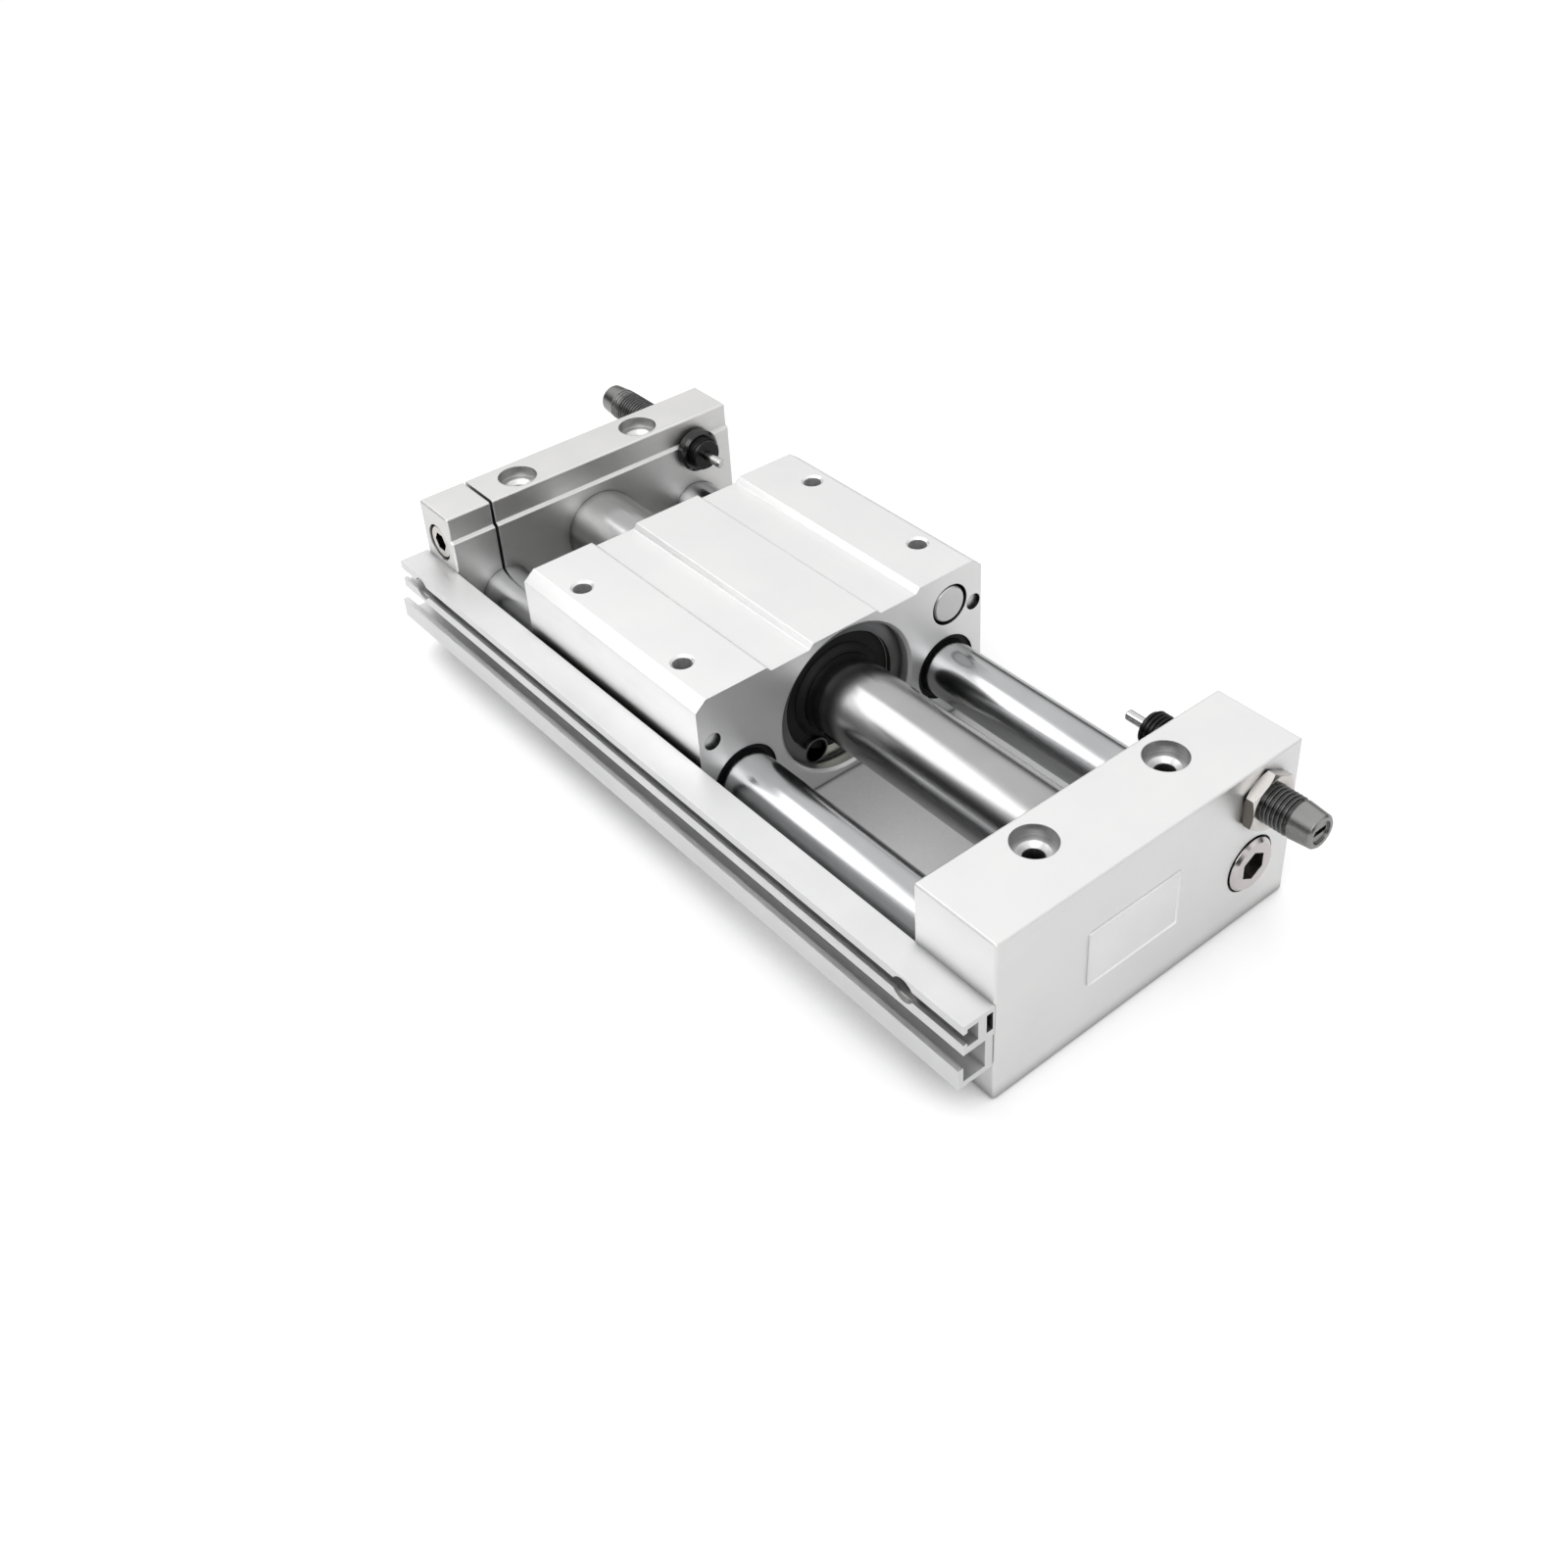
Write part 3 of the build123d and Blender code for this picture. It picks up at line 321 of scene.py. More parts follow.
def make_grain():
    """Fine etched grain and slow colour clouds."""
    group, start, end = new_group(
        "etched grain",
        [("Grain Scale", "NodeSocketFloat", 5000.0), ("Cloud Scale", "NodeSocketFloat", 60.0)],
        [("Grain", "NodeSocketFloat"), ("Cloud", "NodeSocketFloat")])
    coordinates = object_coordinates(group)
    for scale, out, detail in (("Grain Scale", "Grain", 2.0), ("Cloud Scale", "Cloud", 4.0)):
        noise = group.nodes.new("ShaderNodeTexNoise")
        noise.inputs["Detail"].default_value = detail
        group.links.new(coordinates, noise.inputs["Vector"])
        group.links.new(start.outputs[scale], noise.inputs["Scale"])
        group.links.new(noise.outputs[0], end.inputs[out])
    return group


def make_drawn_lines():
    """Fine lines that a die, a brush or a lathe leaves, long along one direction."""
    group, start, end = new_group(
        "drawn lines", [("Stretch", "NodeSocketVector", (40.0, 3000.0, 3000.0))],
        [("Lines", "NodeSocketFloat")])
    squeezed = vector_node(
        group, "MULTIPLY", object_coordinates(group), start.outputs["Stretch"])
    noise = group.nodes.new("ShaderNodeTexNoise")
    noise.inputs["Scale"].default_value = 1.0
    noise.inputs["Detail"].default_value = 4.0
    group.links.new(squeezed.outputs[0], noise.inputs["Vector"])
    group.links.new(noise.outputs[0], end.inputs["Lines"])
    return group


def make_painted_recess_shade():
    """Painted shade in seams, sockets and thread roots: darker where neighbouring surfaces stand
    close by.
    """
    group, start, end = new_group(
        "shaded recesses",
        [("Reach", "NodeSocketFloat", 0.004), ("Depth", "NodeSocketFloat", 0.7)],
        [("Shade", "NodeSocketFloat")])
    open_sky = group.nodes.new("ShaderNodeAmbientOcclusion")
    open_sky.samples = 6
    group.links.new(start.outputs["Reach"], open_sky.inputs["Distance"])
    closed = rise(group, open_sky.outputs["AO"], 0.80, 0.15)
    # Painted shade: the more closed in the surroundings, the darker the base colour
    shade = math_node(group, "MULTIPLY", closed, start.outputs["Depth"], clamp=True)
    group.links.new(shade, end.inputs["Shade"])
    return group


EDGE_WEAR_AND_HIGHLIGHT = make_edge_wear_and_highlight()
PAINTED_RECESS_SHADE = make_painted_recess_shade()
GRAIN = make_grain()
DRAWN_LINES = make_drawn_lines()


# Kinds of material

def lay_colours(tree, shader, grain, edge_wear_and_highlight, colours, recess_shade, shade_colour):
    """Base colour in layers: clouds, bright edges that are partly rubbed wear and partly painted
    highlight, and painted shade in recesses.
    """
    colour, cloud_colour, edge_colour = colours
    cloud = spread(tree, grain.outputs["Cloud"], 0.0, 1.0)
    body = blend_colours(tree, cloud, colour, cloud_colour)
    # Rubbed wear and a painted highlight: the edge mask lightens the base colour along edges
    worn_and_lit = blend_colours(tree, edge_wear_and_highlight.outputs["Mask"], body, edge_colour)
    # Painted shade: near-black mixed into the base colour where the recess mask is high
    settled = blend_colours(tree, recess_shade.outputs["Shade"], worn_and_lit, shade_colour)
    tree.links.new(settled, shader.inputs["Base Color"])


def make_metal(
        name, colour, cloud_colour, edge_colour, roughness, stretch=None, grain_scale=5000.0,
        line_bump=0.15, grain_bump=0.1, edge_width=0.00025, line_rough=0.08,
        shade_reach=0.004, shade_strength=0.7):
    """A finished metal: clouds of colour, grain, drawn lines, bright edges (rubbed wear and painted
    highlight) and painted shade in recesses.
    """
    metal, tree, shader = new_material(name)
    shader.inputs["Metallic"].default_value = 1.0
    grain = use_group(tree, GRAIN, Grain_Scale=grain_scale)
    edge_wear_and_highlight = use_group(tree, EDGE_WEAR_AND_HIGHLIGHT, Width=edge_width)
    # Painted shade in the recesses
    recess_shade = use_group(tree, PAINTED_RECESS_SHADE, Reach=shade_reach, Depth=shade_strength)
    lay_colours(
        tree, shader, grain, edge_wear_and_highlight, (colour, cloud_colour, edge_colour), recess_shade,
        shade_colour=(0.05, 0.05, 0.05))
    rough = spread(tree, grain.outputs["Grain"], *roughness)
    normal = add_bump(tree, grain.outputs["Grain"], grain_bump, normal=edge_wear_and_highlight.outputs["Normal"])
    if stretch:
        lines = use_group(tree, DRAWN_LINES, Stretch=stretch).outputs["Lines"]
        rough = math_node(tree, "ADD", rough, spread(tree, lines, -line_rough, line_rough))
        normal = add_bump(tree, lines, line_bump, normal=normal)
    tree.links.new(rough, shader.inputs["Roughness"])
    tree.links.new(normal, shader.inputs["Normal"])
    return metal


def make_moulded(name, colour, cloud_colour, roughness, grain_bump=0.2, specular=0.5):
    """Rubber or plastic: fine pitted skin, slightly greyed edges and painted shade in recesses."""
    moulded, tree, shader = new_material(name)
    shader.inputs["Specular IOR Level"].default_value = specular
    grain = use_group(tree, GRAIN, Grain_Scale=2500.0, Cloud_Scale=200.0)
    edge_wear_and_highlight = use_group(tree, EDGE_WEAR_AND_HIGHLIGHT, Width=0.00006)
    # Painted shade in the recesses
    recess_shade = use_group(tree, PAINTED_RECESS_SHADE, Reach=0.005, Depth=0.8)
    lay_colours(
        tree, shader, grain, edge_wear_and_highlight, (colour, cloud_colour, cloud_colour), recess_shade,
        shade_colour=(0.003, 0.003, 0.003))
    rough = spread(tree, grain.outputs["Grain"], *roughness)
    tree.links.new(rough, shader.inputs["Roughness"])
    normal = add_bump(
        tree, grain.outputs["Grain"], grain_bump, distance=0.00006,
        normal=edge_wear_and_highlight.outputs["Normal"])
    tree.links.new(normal, shader.inputs["Normal"])
    return moulded


def make_label_film():
    """A thin satin film, a little brighter than the metal, with faint clouds."""
    film, tree, shader = new_material("bare silver label")
    shader.inputs["Metallic"].default_value = 0.35
    grain = use_group(tree, GRAIN, Grain_Scale=1500.0, Cloud_Scale=90.0)
    cloud = spread(tree, grain.outputs["Cloud"], 0.0, 1.0)
    colour = blend_colours(tree, cloud, (0.86, 0.86, 0.865), (0.90, 0.90, 0.905))
    tree.links.new(colour, shader.inputs["Base Color"])
    rough = spread(tree, grain.outputs["Grain"], 0.32, 0.40)
    tree.links.new(rough, shader.inputs["Roughness"])
    normal = add_bump(tree, grain.outputs["Grain"], 0.04)
    tree.links.new(normal, shader.inputs["Normal"])
    return film


# Finishes: body colour, cloud colour, edge colour and the range of roughness

ALONG = (60.0, 5000.0, 5000.0)
ACROSS = (5000.0, 60.0, 5000.0)
ROUND_THE_BAR = (6000.0, 200.0, 200.0)
LONG_ON_THE_TUBE = (30.0, 900.0, 900.0)

satin_blocks = make_metal(
    "clear anodised blocks", (0.86, 0.86, 0.865), (0.89, 0.885, 0.88), (0.97, 0.97, 0.97),
    (0.38, 0.48), stretch=ACROSS, line_bump=0.05, grain_bump=0.12, edge_width=0.0004,
    shade_reach=0.006, shade_strength=1.1)
satin_slider = make_metal(
    "clear anodised slider", (0.86, 0.86, 0.86), (0.89, 0.89, 0.885), (0.97, 0.97, 0.97),
    (0.38, 0.48), stretch=ALONG, line_bump=0.06, grain_bump=0.12, edge_width=0.0003,
    shade_reach=0.003, shade_strength=1.6)
rail_skin = make_metal(
    "matte extruded rail", (0.77, 0.77, 0.775), (0.82, 0.82, 0.82), (0.97, 0.97, 0.97),
    (0.38, 0.50), stretch=ALONG, line_bump=0.12, grain_bump=0.12, edge_width=0.0002,
    shade_reach=0.0045, shade_strength=1.0)
# Painted shade: a darker, warmer copy of the blocks' clear anodise for the clamp block
shaded_clamp_anodise = make_metal(
    "clear anodised clamp block", (0.77, 0.77, 0.76), (0.82, 0.815, 0.80), (0.96, 0.96, 0.95),
    (0.38, 0.48), stretch=ACROSS, line_bump=0.08, grain_bump=0.16, edge_width=0.0004,
    shade_reach=0.005, shade_strength=0.7)
polished_tube = make_metal(
    "polished stainless tube", (0.39, 0.39, 0.392), (0.44, 0.44, 0.44), (0.75, 0.75, 0.75),
    (0.18, 0.23), stretch=LONG_ON_THE_TUBE, line_bump=0.03, grain_bump=0.01,
    edge_width=0.0003, line_rough=0.02)
hard_chrome = make_metal(
    "hard chrome shafts", (0.44, 0.443, 0.45), (0.49, 0.493, 0.50), (0.80, 0.80, 0.80),
    (0.16, 0.22), stretch=ROUND_THE_BAR, line_bump=0.03, grain_bump=0.02,
    edge_width=0.0003, line_rough=0.02)
bright_nickel = make_metal(
    "bright nickel", (0.62, 0.59, 0.56), (0.68, 0.65, 0.62), (0.88, 0.87, 0.86),
    (0.12, 0.20), grain_bump=0.04, edge_width=0.0003, shade_reach=0.007, shade_strength=1.3)
# A lighter copy of the nickel for the lock nuts, painted light that keeps their upward faces bright
nut_nickel = make_metal(
    "nickel lock nuts", (0.70, 0.67, 0.64), (0.76, 0.73, 0.70), (0.92, 0.91, 0.90),
    (0.14, 0.22), grain_bump=0.04, edge_width=0.0002, shade_reach=0.003, shade_strength=1.0)
warm_nickel = make_metal(
    "warm nickel plug", (0.66, 0.62, 0.61), (0.74, 0.70, 0.69), (0.90, 0.88, 0.87),
    (0.14, 0.22), grain_bump=0.05, edge_width=0.0003, shade_reach=0.005, shade_strength=1.5)
plain_steel = make_metal(
    "ground steel", (0.60, 0.60, 0.60), (0.66, 0.66, 0.66), (0.85, 0.85, 0.85),
    (0.14, 0.24), stretch=ROUND_THE_BAR, line_bump=0.05, grain_bump=0.03)
satin_disc = make_metal(
    "lapped strike disc", (0.62, 0.62, 0.62), (0.67, 0.67, 0.67), (0.80, 0.80, 0.80),
    (0.30, 0.40), grain_bump=0.10)
gunmetal = make_metal(
    "blackened absorber", (0.28, 0.28, 0.275), (0.34, 0.34, 0.335), (0.64, 0.64, 0.63),
    (0.24, 0.34), grain_bump=0.10, edge_width=0.00022, shade_reach=0.0014, shade_strength=1.5)
oxide_ring = make_metal(
    "grey oxide ring", (0.19, 0.19, 0.195), (0.25, 0.25, 0.255), (0.40, 0.40, 0.40),
    (0.30, 0.42), grain_bump=0.10, edge_width=0.0001, shade_reach=0.003, shade_strength=1.6)
hard_black = make_metal(
    "hard anodised black", (0.020, 0.020, 0.021), (0.035, 0.035, 0.036), (0.10, 0.10, 0.10),
    (0.45, 0.60), grain_bump=0.10)
olive_plate = make_metal(
    "olive-grey plate", (0.56, 0.56, 0.49), (0.62, 0.62, 0.55), (0.78, 0.78, 0.72),
    (0.30, 0.42), stretch=ROUND_THE_BAR, line_bump=0.08, grain_bump=0.08, shade_strength=0.5)
magnet_skin = make_metal(
    "nickel-plated magnet", (0.34, 0.34, 0.35), (0.40, 0.40, 0.41), (0.60, 0.60, 0.60),
    (0.22, 0.32), grain_bump=0.08)
bright_cap = make_metal(
    "bright magnet cap", (0.70, 0.70, 0.70), (0.80, 0.80, 0.80), (0.90, 0.90, 0.90),
    (0.30, 0.44), grain_scale=2500.0, grain_bump=0.25, shade_strength=0.2)
bronze = make_metal(
    "oiled bronze", (0.45, 0.30, 0.16), (0.52, 0.36, 0.20), (0.70, 0.52, 0.32),
    (0.30, 0.42), stretch=ROUND_THE_BAR, grain_bump=0.12)
cut_thread = make_metal(
    "cut port threads", (0.62, 0.62, 0.62), (0.70, 0.70, 0.70), (0.88, 0.88, 0.88),
    (0.22, 0.32), grain_bump=0.06, edge_width=0.0001, shade_reach=0.0012, shade_strength=1.4)
black_rubber = make_moulded(
    "black rubber", (0.009, 0.009, 0.009), (0.016, 0.016, 0.016), (0.50, 0.65),
    specular=0.25)
black_plastic = make_moulded(
    "glossy black plastic", (0.008, 0.008, 0.008), (0.014, 0.014, 0.014), (0.12, 0.20),
    grain_bump=0.04, specular=0.6)
bearing_plastic = make_moulded(
    "filled bearing plastic", (0.10, 0.09, 0.075), (0.14, 0.13, 0.11), (0.42, 0.55))
label_film = make_label_film()


# Darker places on a finish, found by where they lie

def distance_from(tree, first, second, centre_first, centre_second):
    """Distance from a point in the plane of two coordinates."""
    beside = math_node(tree, "POWER", math_node(tree, "SUBTRACT", first, centre_first), 2.0)
    above = math_node(tree, "POWER", math_node(tree, "SUBTRACT", second, centre_second), 2.0)
    return math_node(tree, "SQRT", math_node(tree, "ADD", beside, above))


def darken_where_low(metal, mask, dark):
    """Where the mask is low, the dark colour takes the place of the metal's own."""
    tree = metal.node_tree
    base = tree.nodes["Principled BSDF"].inputs["Base Color"]
    colour = base.links[0].from_socket
    tree.links.new(blend_colours(tree, mask, dark, colour), base)


def rub_absorbers(metal):
    """Black between the blocks and in the thread roots, rubbed bare on the outer ends."""
    tree = metal.node_tree
    place = split_vector(tree, object_coordinates(tree))
    along = math_node(tree, "ABSOLUTE", place["X"])
    across = math_node(tree, "ABSOLUTE", place["Y"])
    radius = distance_from(tree, across, place["Z"], ABSORBER_Y, ABSORBER_Z)
    crest = rise(tree, radius, 4.7 * MM, 5.3 * MM)
    thread_stop = PORT_FACE + THREAD_OUTSIDE
    past_thread = rise(tree, along, thread_stop, thread_stop + 0.6 * MM)
    bare = math_node(tree, "MAXIMUM", crest, past_thread)
    darken_where_low(metal, bare, (0.075, 0.075, 0.076))
    outer_end = rise(tree, along, 104.0 * MM, 110.0 * MM)
    darken_where_low(metal, outer_end, (0.035, 0.035, 0.036))


def paint_shade_on_lugs(metal):
    """Painted shade: round the pliers' holes, the retaining rings' lugs and the plate behind them
    are painted black, standing in for the holes' deep shadow.
    """
    tree = metal.node_tree
    place = split_vector(tree, object_coordinates(tree))
    across = math_node(tree, "ABSOLUTE", place["Y"])
    radius = distance_from(tree, across, place["Z"], LUG_Y, LUG_Z)
    darken_where_low(metal, rise(tree, radius, 3.2 * MM, 3.6 * MM), (0.006, 0.006, 0.006))


def shade_counterbores(metal):
    """Painted shade: the bored walls round the mounting screws' heads are painted darker than the
    faces.
    """
    tree = metal.node_tree
    place = split_vector(tree, object_coordinates(tree))
    along = math_node(tree, "ABSOLUTE", place["X"])
    across = math_node(tree, "ABSOLUTE", place["Y"])
    radius = distance_from(tree, along, across, MOUNT_X, MOUNT_Y)
    beside = rise(tree, radius, COUNTERBORE_R + 0.05 * MM, COUNTERBORE_R + 0.1 * MM)
    below = rise(tree, place["Z"], COUNTERBORE_FLOOR + 0.1 * MM, COUNTERBORE_FLOOR)
    outside = math_node(tree, "MAXIMUM", beside, below)
    # Painted shade on the counterbore walls
    darken_where_low(metal, outside, (0.42, 0.42, 0.42))


def darken_magnet_holes(metal):
    """The walls of the switch magnets' holes, painted near-black as deep shade round the recessed
    magnets.
    """
    tree = metal.node_tree
    place = split_vector(tree, object_coordinates(tree))
    low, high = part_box("switch_magnets")
    height = (low[2] + high[2]) / 2
    for centre in (low[1] + MAGNET_R, high[1] - MAGNET_R):
        radius = distance_from(tree, place["Y"], place["Z"], centre, height)
        past_wall = rise(tree, radius, MAGNET_R + 0.06 * MM, MAGNET_R + 0.1 * MM)
        # Painted shade on the hole walls
        darken_where_low(metal, past_wall, (0.02, 0.02, 0.02))


def paint_shade_on_side_flats(metal):
    """The lock nuts' flats are painted darker than their end faces and the faces that look straight
    up: painted shade by which way each face turns.
    """
    tree = metal.node_tree
    facing = split_vector(tree, true_normal(tree))
    up = rise(tree, facing["Z"], 0.55, 0.85)
    end_face = rise(tree, math_node(tree, "ABSOLUTE", facing["X"]), 0.4, 0.8)
    # Painted shade on the flats that face sideways and down
    darken_where_low(metal, math_node(tree, "MAXIMUM", up, end_face), (0.17, 0.155, 0.14))


paint_shade_on_side_flats(nut_nickel)
rub_absorbers(gunmetal)
darken_magnet_holes(satin_slider)
# Painted shade round the lug holes, on the rings and on the plate behind
paint_shade_on_lugs(oxide_ring)
paint_shade_on_lugs(olive_plate)
shade_counterbores(satin_blocks)
shade_counterbores(shaded_clamp_anodise)

# The longest key that a node's name holds gives its finish
FINISHES = {
    "port_end_block": satin_blocks, "clamp_end_block": shaded_clamp_anodise,
    "slider_block": satin_slider, "switch_rail": rail_skin,
    "cylinder_tube": polished_tube, "guide_shaft": hard_chrome,
    "passage_end_plug": warm_nickel, "absorber_lock_nuts": nut_nickel,
    "clamp_screw": bright_nickel, "rail_screws": bright_nickel,
    "absorber_body": gunmetal, "absorber_rod": plain_steel,
    "absorber_stop_ring": black_plastic, "strike_disc": satin_disc,
    "retaining_ring": oxide_ring, "scraper_plate": olive_plate,
    "bearing_holder": hard_black, "wear_ring": bearing_plastic,
    "slide_bushing": bronze, "magnets": magnet_skin, "switch_magnets": bright_cap,
    "yokes": plain_steel, "o_ring": black_rubber, "bumper": black_rubber,
    "tube_scraper": black_rubber, "shaft_wipers": black_rubber,
    "piston_seal": black_rubber, "piston_shaft": plain_steel,
    "piston_nuts": plain_steel, "cross_passage_plug": plain_steel,
    "piston_port_end": satin_slider, "piston_clamp_end": satin_slider,
}
for name, node in frame["nodes"].items():
    matches = [key for key in FINISHES if key in name]
    node.data.materials.clear()
    node.data.materials.append(FINISHES[max(matches, key=len)])


# Absorber bodies with their threads

def absorber_profile():
    """Stations (depth, radius) from the front: nose, thread, shoulder and the cup in the end."""
    root = 4.55 * MM
    crest = 5.0 * MM
    pitch = 1.15 * MM
    nose = 0.5 * MM
    thread_end = 43.8 * MM
    count = int((thread_end - 0.9 * MM) / pitch)
    stations = [(0.0, crest - 0.7 * MM), (nose, root)]
    stations += thread_ridges(nose, pitch, count, root, crest, (0.30, 0.50, 0.64, 0.86))
    stations += [(thread_end, root), (44.0 * MM, 4.95 * MM), (49.5 * MM, 4.4 * MM)]
    stations += [(ABSORBER_LENGTH, 3.9 * MM), (ABSORBER_LENGTH, 3.1 * MM), (49.4 * MM, 3.0 * MM)]
    return stations


def absorber_bar(front, stations, sides):
    """A bar on the absorber's axis, from stations given as (x, radius)."""
    return turned_shape(ABOUT_X, (front, ABSORBER_Y, ABSORBER_Z), stations, sides)


for end, front, direction in (
    ("port_end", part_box("absorber_body_port_end")[0][0], 1),
    ("clamp_end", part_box("absorber_body_clamp_end")[1][0], -1),
):
    back = front + direction * ABSORBER_LENGTH
    body = absorber_bar(
        front, [(front + direction * depth, radius) for depth, radius in absorber_profile()], 64)
    driver_slot = block((back, ABSORBER_Y, ABSORBER_Z), (4.0 * MM, 4.8 * MM, 1.5 * MM))
    cut(body, driver_slot)
    rod_radius = 1.5 * MM
    rod_hole = absorber_bar(
        front,
        [(front - direction * 1.0 * MM, rod_radius), (front + direction * 21.4 * MM, rod_radius)],
        32)
    cut(body, rod_hole)
    finish_piece(body, "absorber_thread_" + end, "base", gunmetal, 28)
    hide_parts("absorber_body_" + end)


# Threads cut in the air ports

def port_profile(depth, outer, root, crest, pitch):
    """Stations (depth, radius) of a thin sleeve with thread ridges, closed on itself."""
    first_ridge = 0.1 * MM
    count = int((depth - 0.2 * MM) / pitch)
    stations = [(0.0, outer), (0.0, root)]
    stations += thread_ridges(first_ridge, pitch, count, root, crest, (0.10, 0.45, 0.57, 0.92))
    stations += [(depth, root), (depth, outer), (0.0, outer)]
    return stations


for letter, port_height in PORT_HEIGHTS.items():
    profile = port_profile(
        depth=5.8 * MM, outer=4.29 * MM, root=4.22 * MM, crest=3.78 * MM, pitch=0.91 * MM)
    mouth = PORT_SIDE - 0.12 * MM
    sleeve = turned_shape(
        ABOUT_Y, (PORT_X, mouth, port_height),
        [(mouth - depth, radius) for depth, radius in profile], 56, fill="NOTHING")
    finish_piece(sleeve, "port_thread_" + letter, "base", cut_thread, 28)


# Bare label on the port block's face

def bare_label():
    """A thin film whose four corners, the edges that run along X, are rounded."""
    thickness = 0.05 * MM
    centre = (PORT_FACE + thickness / 2, -6.1 * MM, 23.2 * MM)
    label = block(centre, (thickness, 28.8 * MM, 15.7 * MM))
    bpy.ops.object.mode_set(mode="EDIT")
    bpy.ops.mesh.select_all(action="DESELECT")
    bpy.ops.object.mode_set(mode="OBJECT")
    for edge in label.data.edges:
        low, high = (label.data.vertices[index].co for index in edge.vertices)
        edge.select = abs(low.x - high.x) > thickness / 2
    bpy.ops.object.mode_set(mode="EDIT")
    bpy.ops.mesh.select_mode(type="EDGE")
    bpy.ops.mesh.bevel(offset=0.5 * MM, segments=4)
    bpy.ops.object.mode_set(mode="OBJECT")
    return label


finish_piece(bare_label(), "bare_label", "base", label_film)


# Floor, light and camera

def lay_floor():
    """White paper with a painted shadow where the part stands close over it; camera rays see it
    lighter and faintly glowing in the open, other rays a little darker.
    """
    deselect_everything()
    bpy.ops.mesh.primitive_plane_add(size=3.0, location=(0, 0, -0.2 * MM))
    floor = bpy.context.active_object
    floor.name = "studio_floor"
    paper, tree, shader = new_material("white studio paper")
    shader.inputs["Roughness"].default_value = 0.9
    shader.inputs["Specular IOR Level"].default_value = 0.1
    seen = tree.nodes.new("ShaderNodeLightPath").outputs["Is Camera Ray"]
    shade = blend_colours(tree, seen, (0.78, 0.78, 0.78), (0.90, 0.90, 0.90))
    enclosed = tree.nodes.new("ShaderNodeAmbientOcclusion")
    enclosed.samples = 8
    enclosed.inputs["Distance"].default_value = 45.0 * MM
    daylight = rise(tree, enclosed.outputs["AO"], 0.10, 0.56)
    # Painted shadow: grey where the part closes over the floor
    shade = blend_colours(tree, daylight, (0.47, 0.47, 0.47), shade)
    tree.links.new(shade, shader.inputs["Base Color"])
    shader.inputs["Emission Color"].default_value = (1, 1, 1, 1)
    # Painted glow: only the camera sees the open floor glow
    glow = math_node(tree, "MULTIPLY", seen, daylight)
    glow = math_node(tree, "MULTIPLY", glow, 0.16)
    tree.links.new(glow, shader.inputs["Emission Strength"])
    floor.data.materials.append(paper)


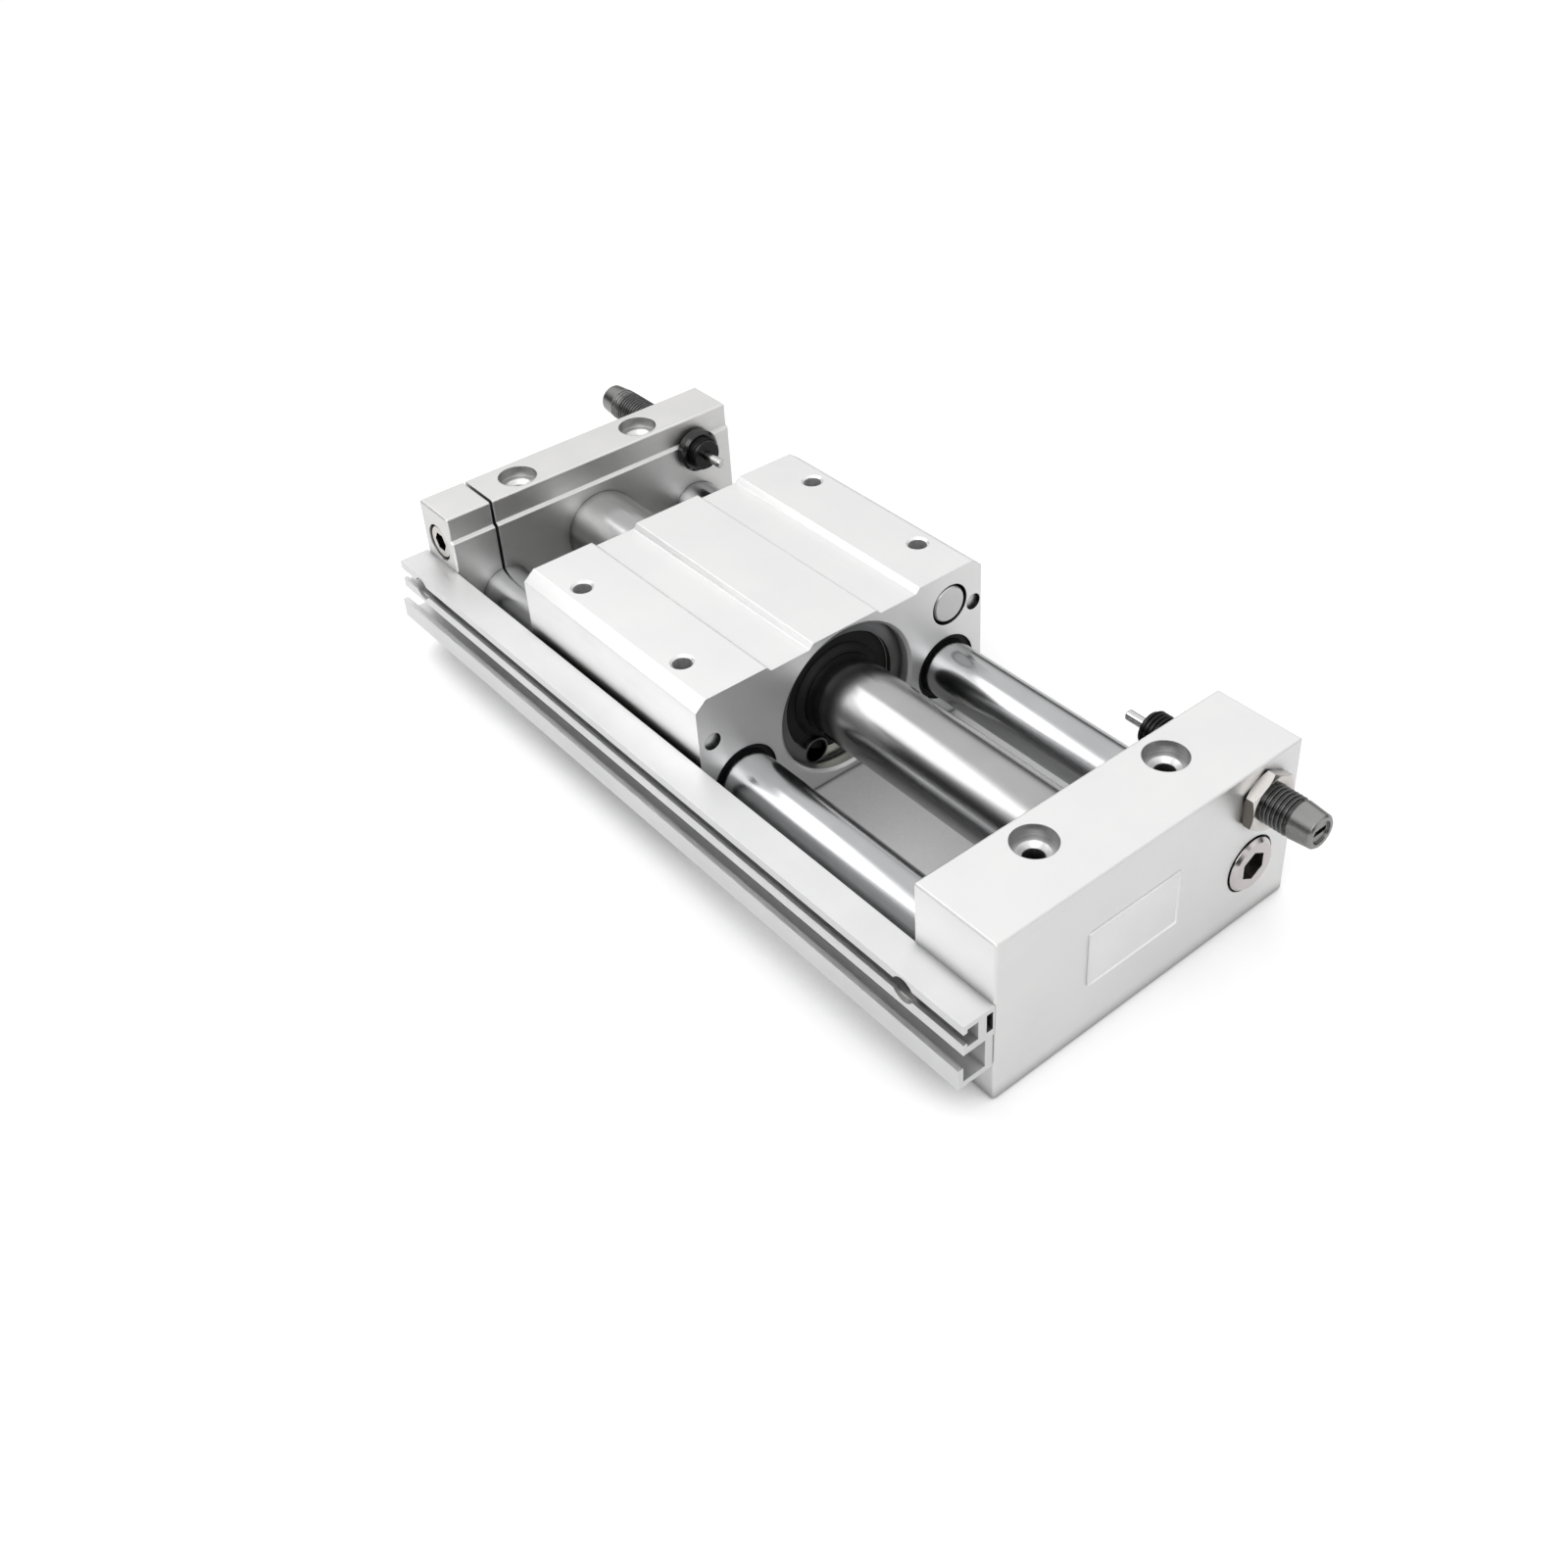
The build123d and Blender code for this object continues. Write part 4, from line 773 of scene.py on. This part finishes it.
def light_room():
    """A white sky over a dark horizon, which the polished bars mirror."""
    world = bpy.data.worlds.new("studio room")
    world.use_nodes = True
    tree = world.node_tree
    tree.nodes.clear()
    output = tree.nodes.new("ShaderNodeOutputWorld")
    directions = tree.nodes.new("ShaderNodeTexCoord").outputs["Generated"]
    lean = vector_node(tree, "DOT_PRODUCT", directions, (0.0, 0.12, 0.993))
    height = math_node(tree, "MULTIPLY_ADD", lean.outputs["Value"], 0.5, 0.5)
    ramp = tree.nodes.new("ShaderNodeValToRGB")
    bands = ramp.color_ramp
    bands.elements[0].position = 0.50
    bands.elements[0].color = (0.03, 0.03, 0.03, 1)
    bands.elements[1].position = 1.0
    bands.elements[1].color = (1.0, 1.0, 1.0, 1)
    for position, level in ((0.61, 0.05), (0.67, 0.40), (0.72, 0.85), (0.80, 1.0)):
        band = bands.elements.new(position)
        band.color = (level, level, level, 1)
    tree.links.new(height, ramp.inputs[0])
    room = tree.nodes.new("ShaderNodeBackground")
    room.inputs["Strength"].default_value = 1.04
    tree.links.new(ramp.outputs[0], room.inputs["Color"])
    backdrop = tree.nodes.new("ShaderNodeBackground")
    backdrop.inputs["Color"].default_value = (1, 1, 1, 1)
    seen = tree.nodes.new("ShaderNodeLightPath")
    choose = tree.nodes.new("ShaderNodeMixShader")
    tree.links.new(seen.outputs["Is Camera Ray"], choose.inputs[0])
    tree.links.new(room.outputs[0], choose.inputs[1])
    tree.links.new(backdrop.outputs[0], choose.inputs[2])
    tree.links.new(choose.outputs[0], output.inputs["Surface"])
    bpy.context.scene.world = world


def softbox(name, place, aim, size, power):
    deselect_everything()
    bpy.ops.object.light_add(type="AREA", location=place)
    lamp = bpy.context.active_object
    lamp.name = name
    lamp.data.shape = "RECTANGLE"
    lamp.data.size, lamp.data.size_y = size
    lamp.data.energy = power
    lamp.visible_camera = False
    lamp.rotation_euler = (Vector(aim) - Vector(place)).to_track_quat("-Z", "Y").to_euler()


def set_camera():
    """The photograph's camera: place, direction, roll, lens and framing."""
    picture_side = 1600
    focal_length = 1805.96
    picture_centre = (864.39, 655.31)
    sensor_width = 36.0
    place = (0.2954, -0.2232, 0.3027)
    azimuth = math.radians(38.76)
    elevation = math.radians(36.17)
    roll = math.radians(-2.50)
    lens_data = bpy.data.cameras.new("photo camera")
    camera = bpy.data.objects.new("photo camera", lens_data)
    bpy.context.collection.objects.link(camera)
    forward = Vector((
        -math.cos(elevation) * math.cos(azimuth),
        math.cos(elevation) * math.sin(azimuth),
        -math.sin(elevation)))
    right = forward.cross(Vector((0, 0, 1))).normalized()
    up = right.cross(forward)
    image_right = right * math.cos(roll) + up * math.sin(roll)
    image_up = up * math.cos(roll) - right * math.sin(roll)
    turn = Matrix((image_right, image_up, -forward)).transposed().to_4x4()
    camera.matrix_world = Matrix.Translation(place) @ turn
    lens_data.sensor_width = sensor_width
    lens_data.lens = focal_length / picture_side * sensor_width
    lens_data.shift_x = (picture_side / 2 - picture_centre[0]) / picture_side
    lens_data.shift_y = (picture_centre[1] - picture_side / 2) / picture_side
    lens_data.clip_start = 0.01
    bpy.context.scene.camera = camera


lay_floor()
light_room()
softbox(
    "low box over the bars", place=(-0.19, -0.14, 0.30), aim=(0.06, 0, 0.024),
    size=(0.26, 0.20), power=0.30)
softbox(
    "fill from the front", place=(0.75, -0.95, 1.0), aim=(0, 0, 0.02),
    size=(1.2, 0.8), power=7.0)
set_camera()
bpy.context.scene.view_settings.view_transform = "Standard"
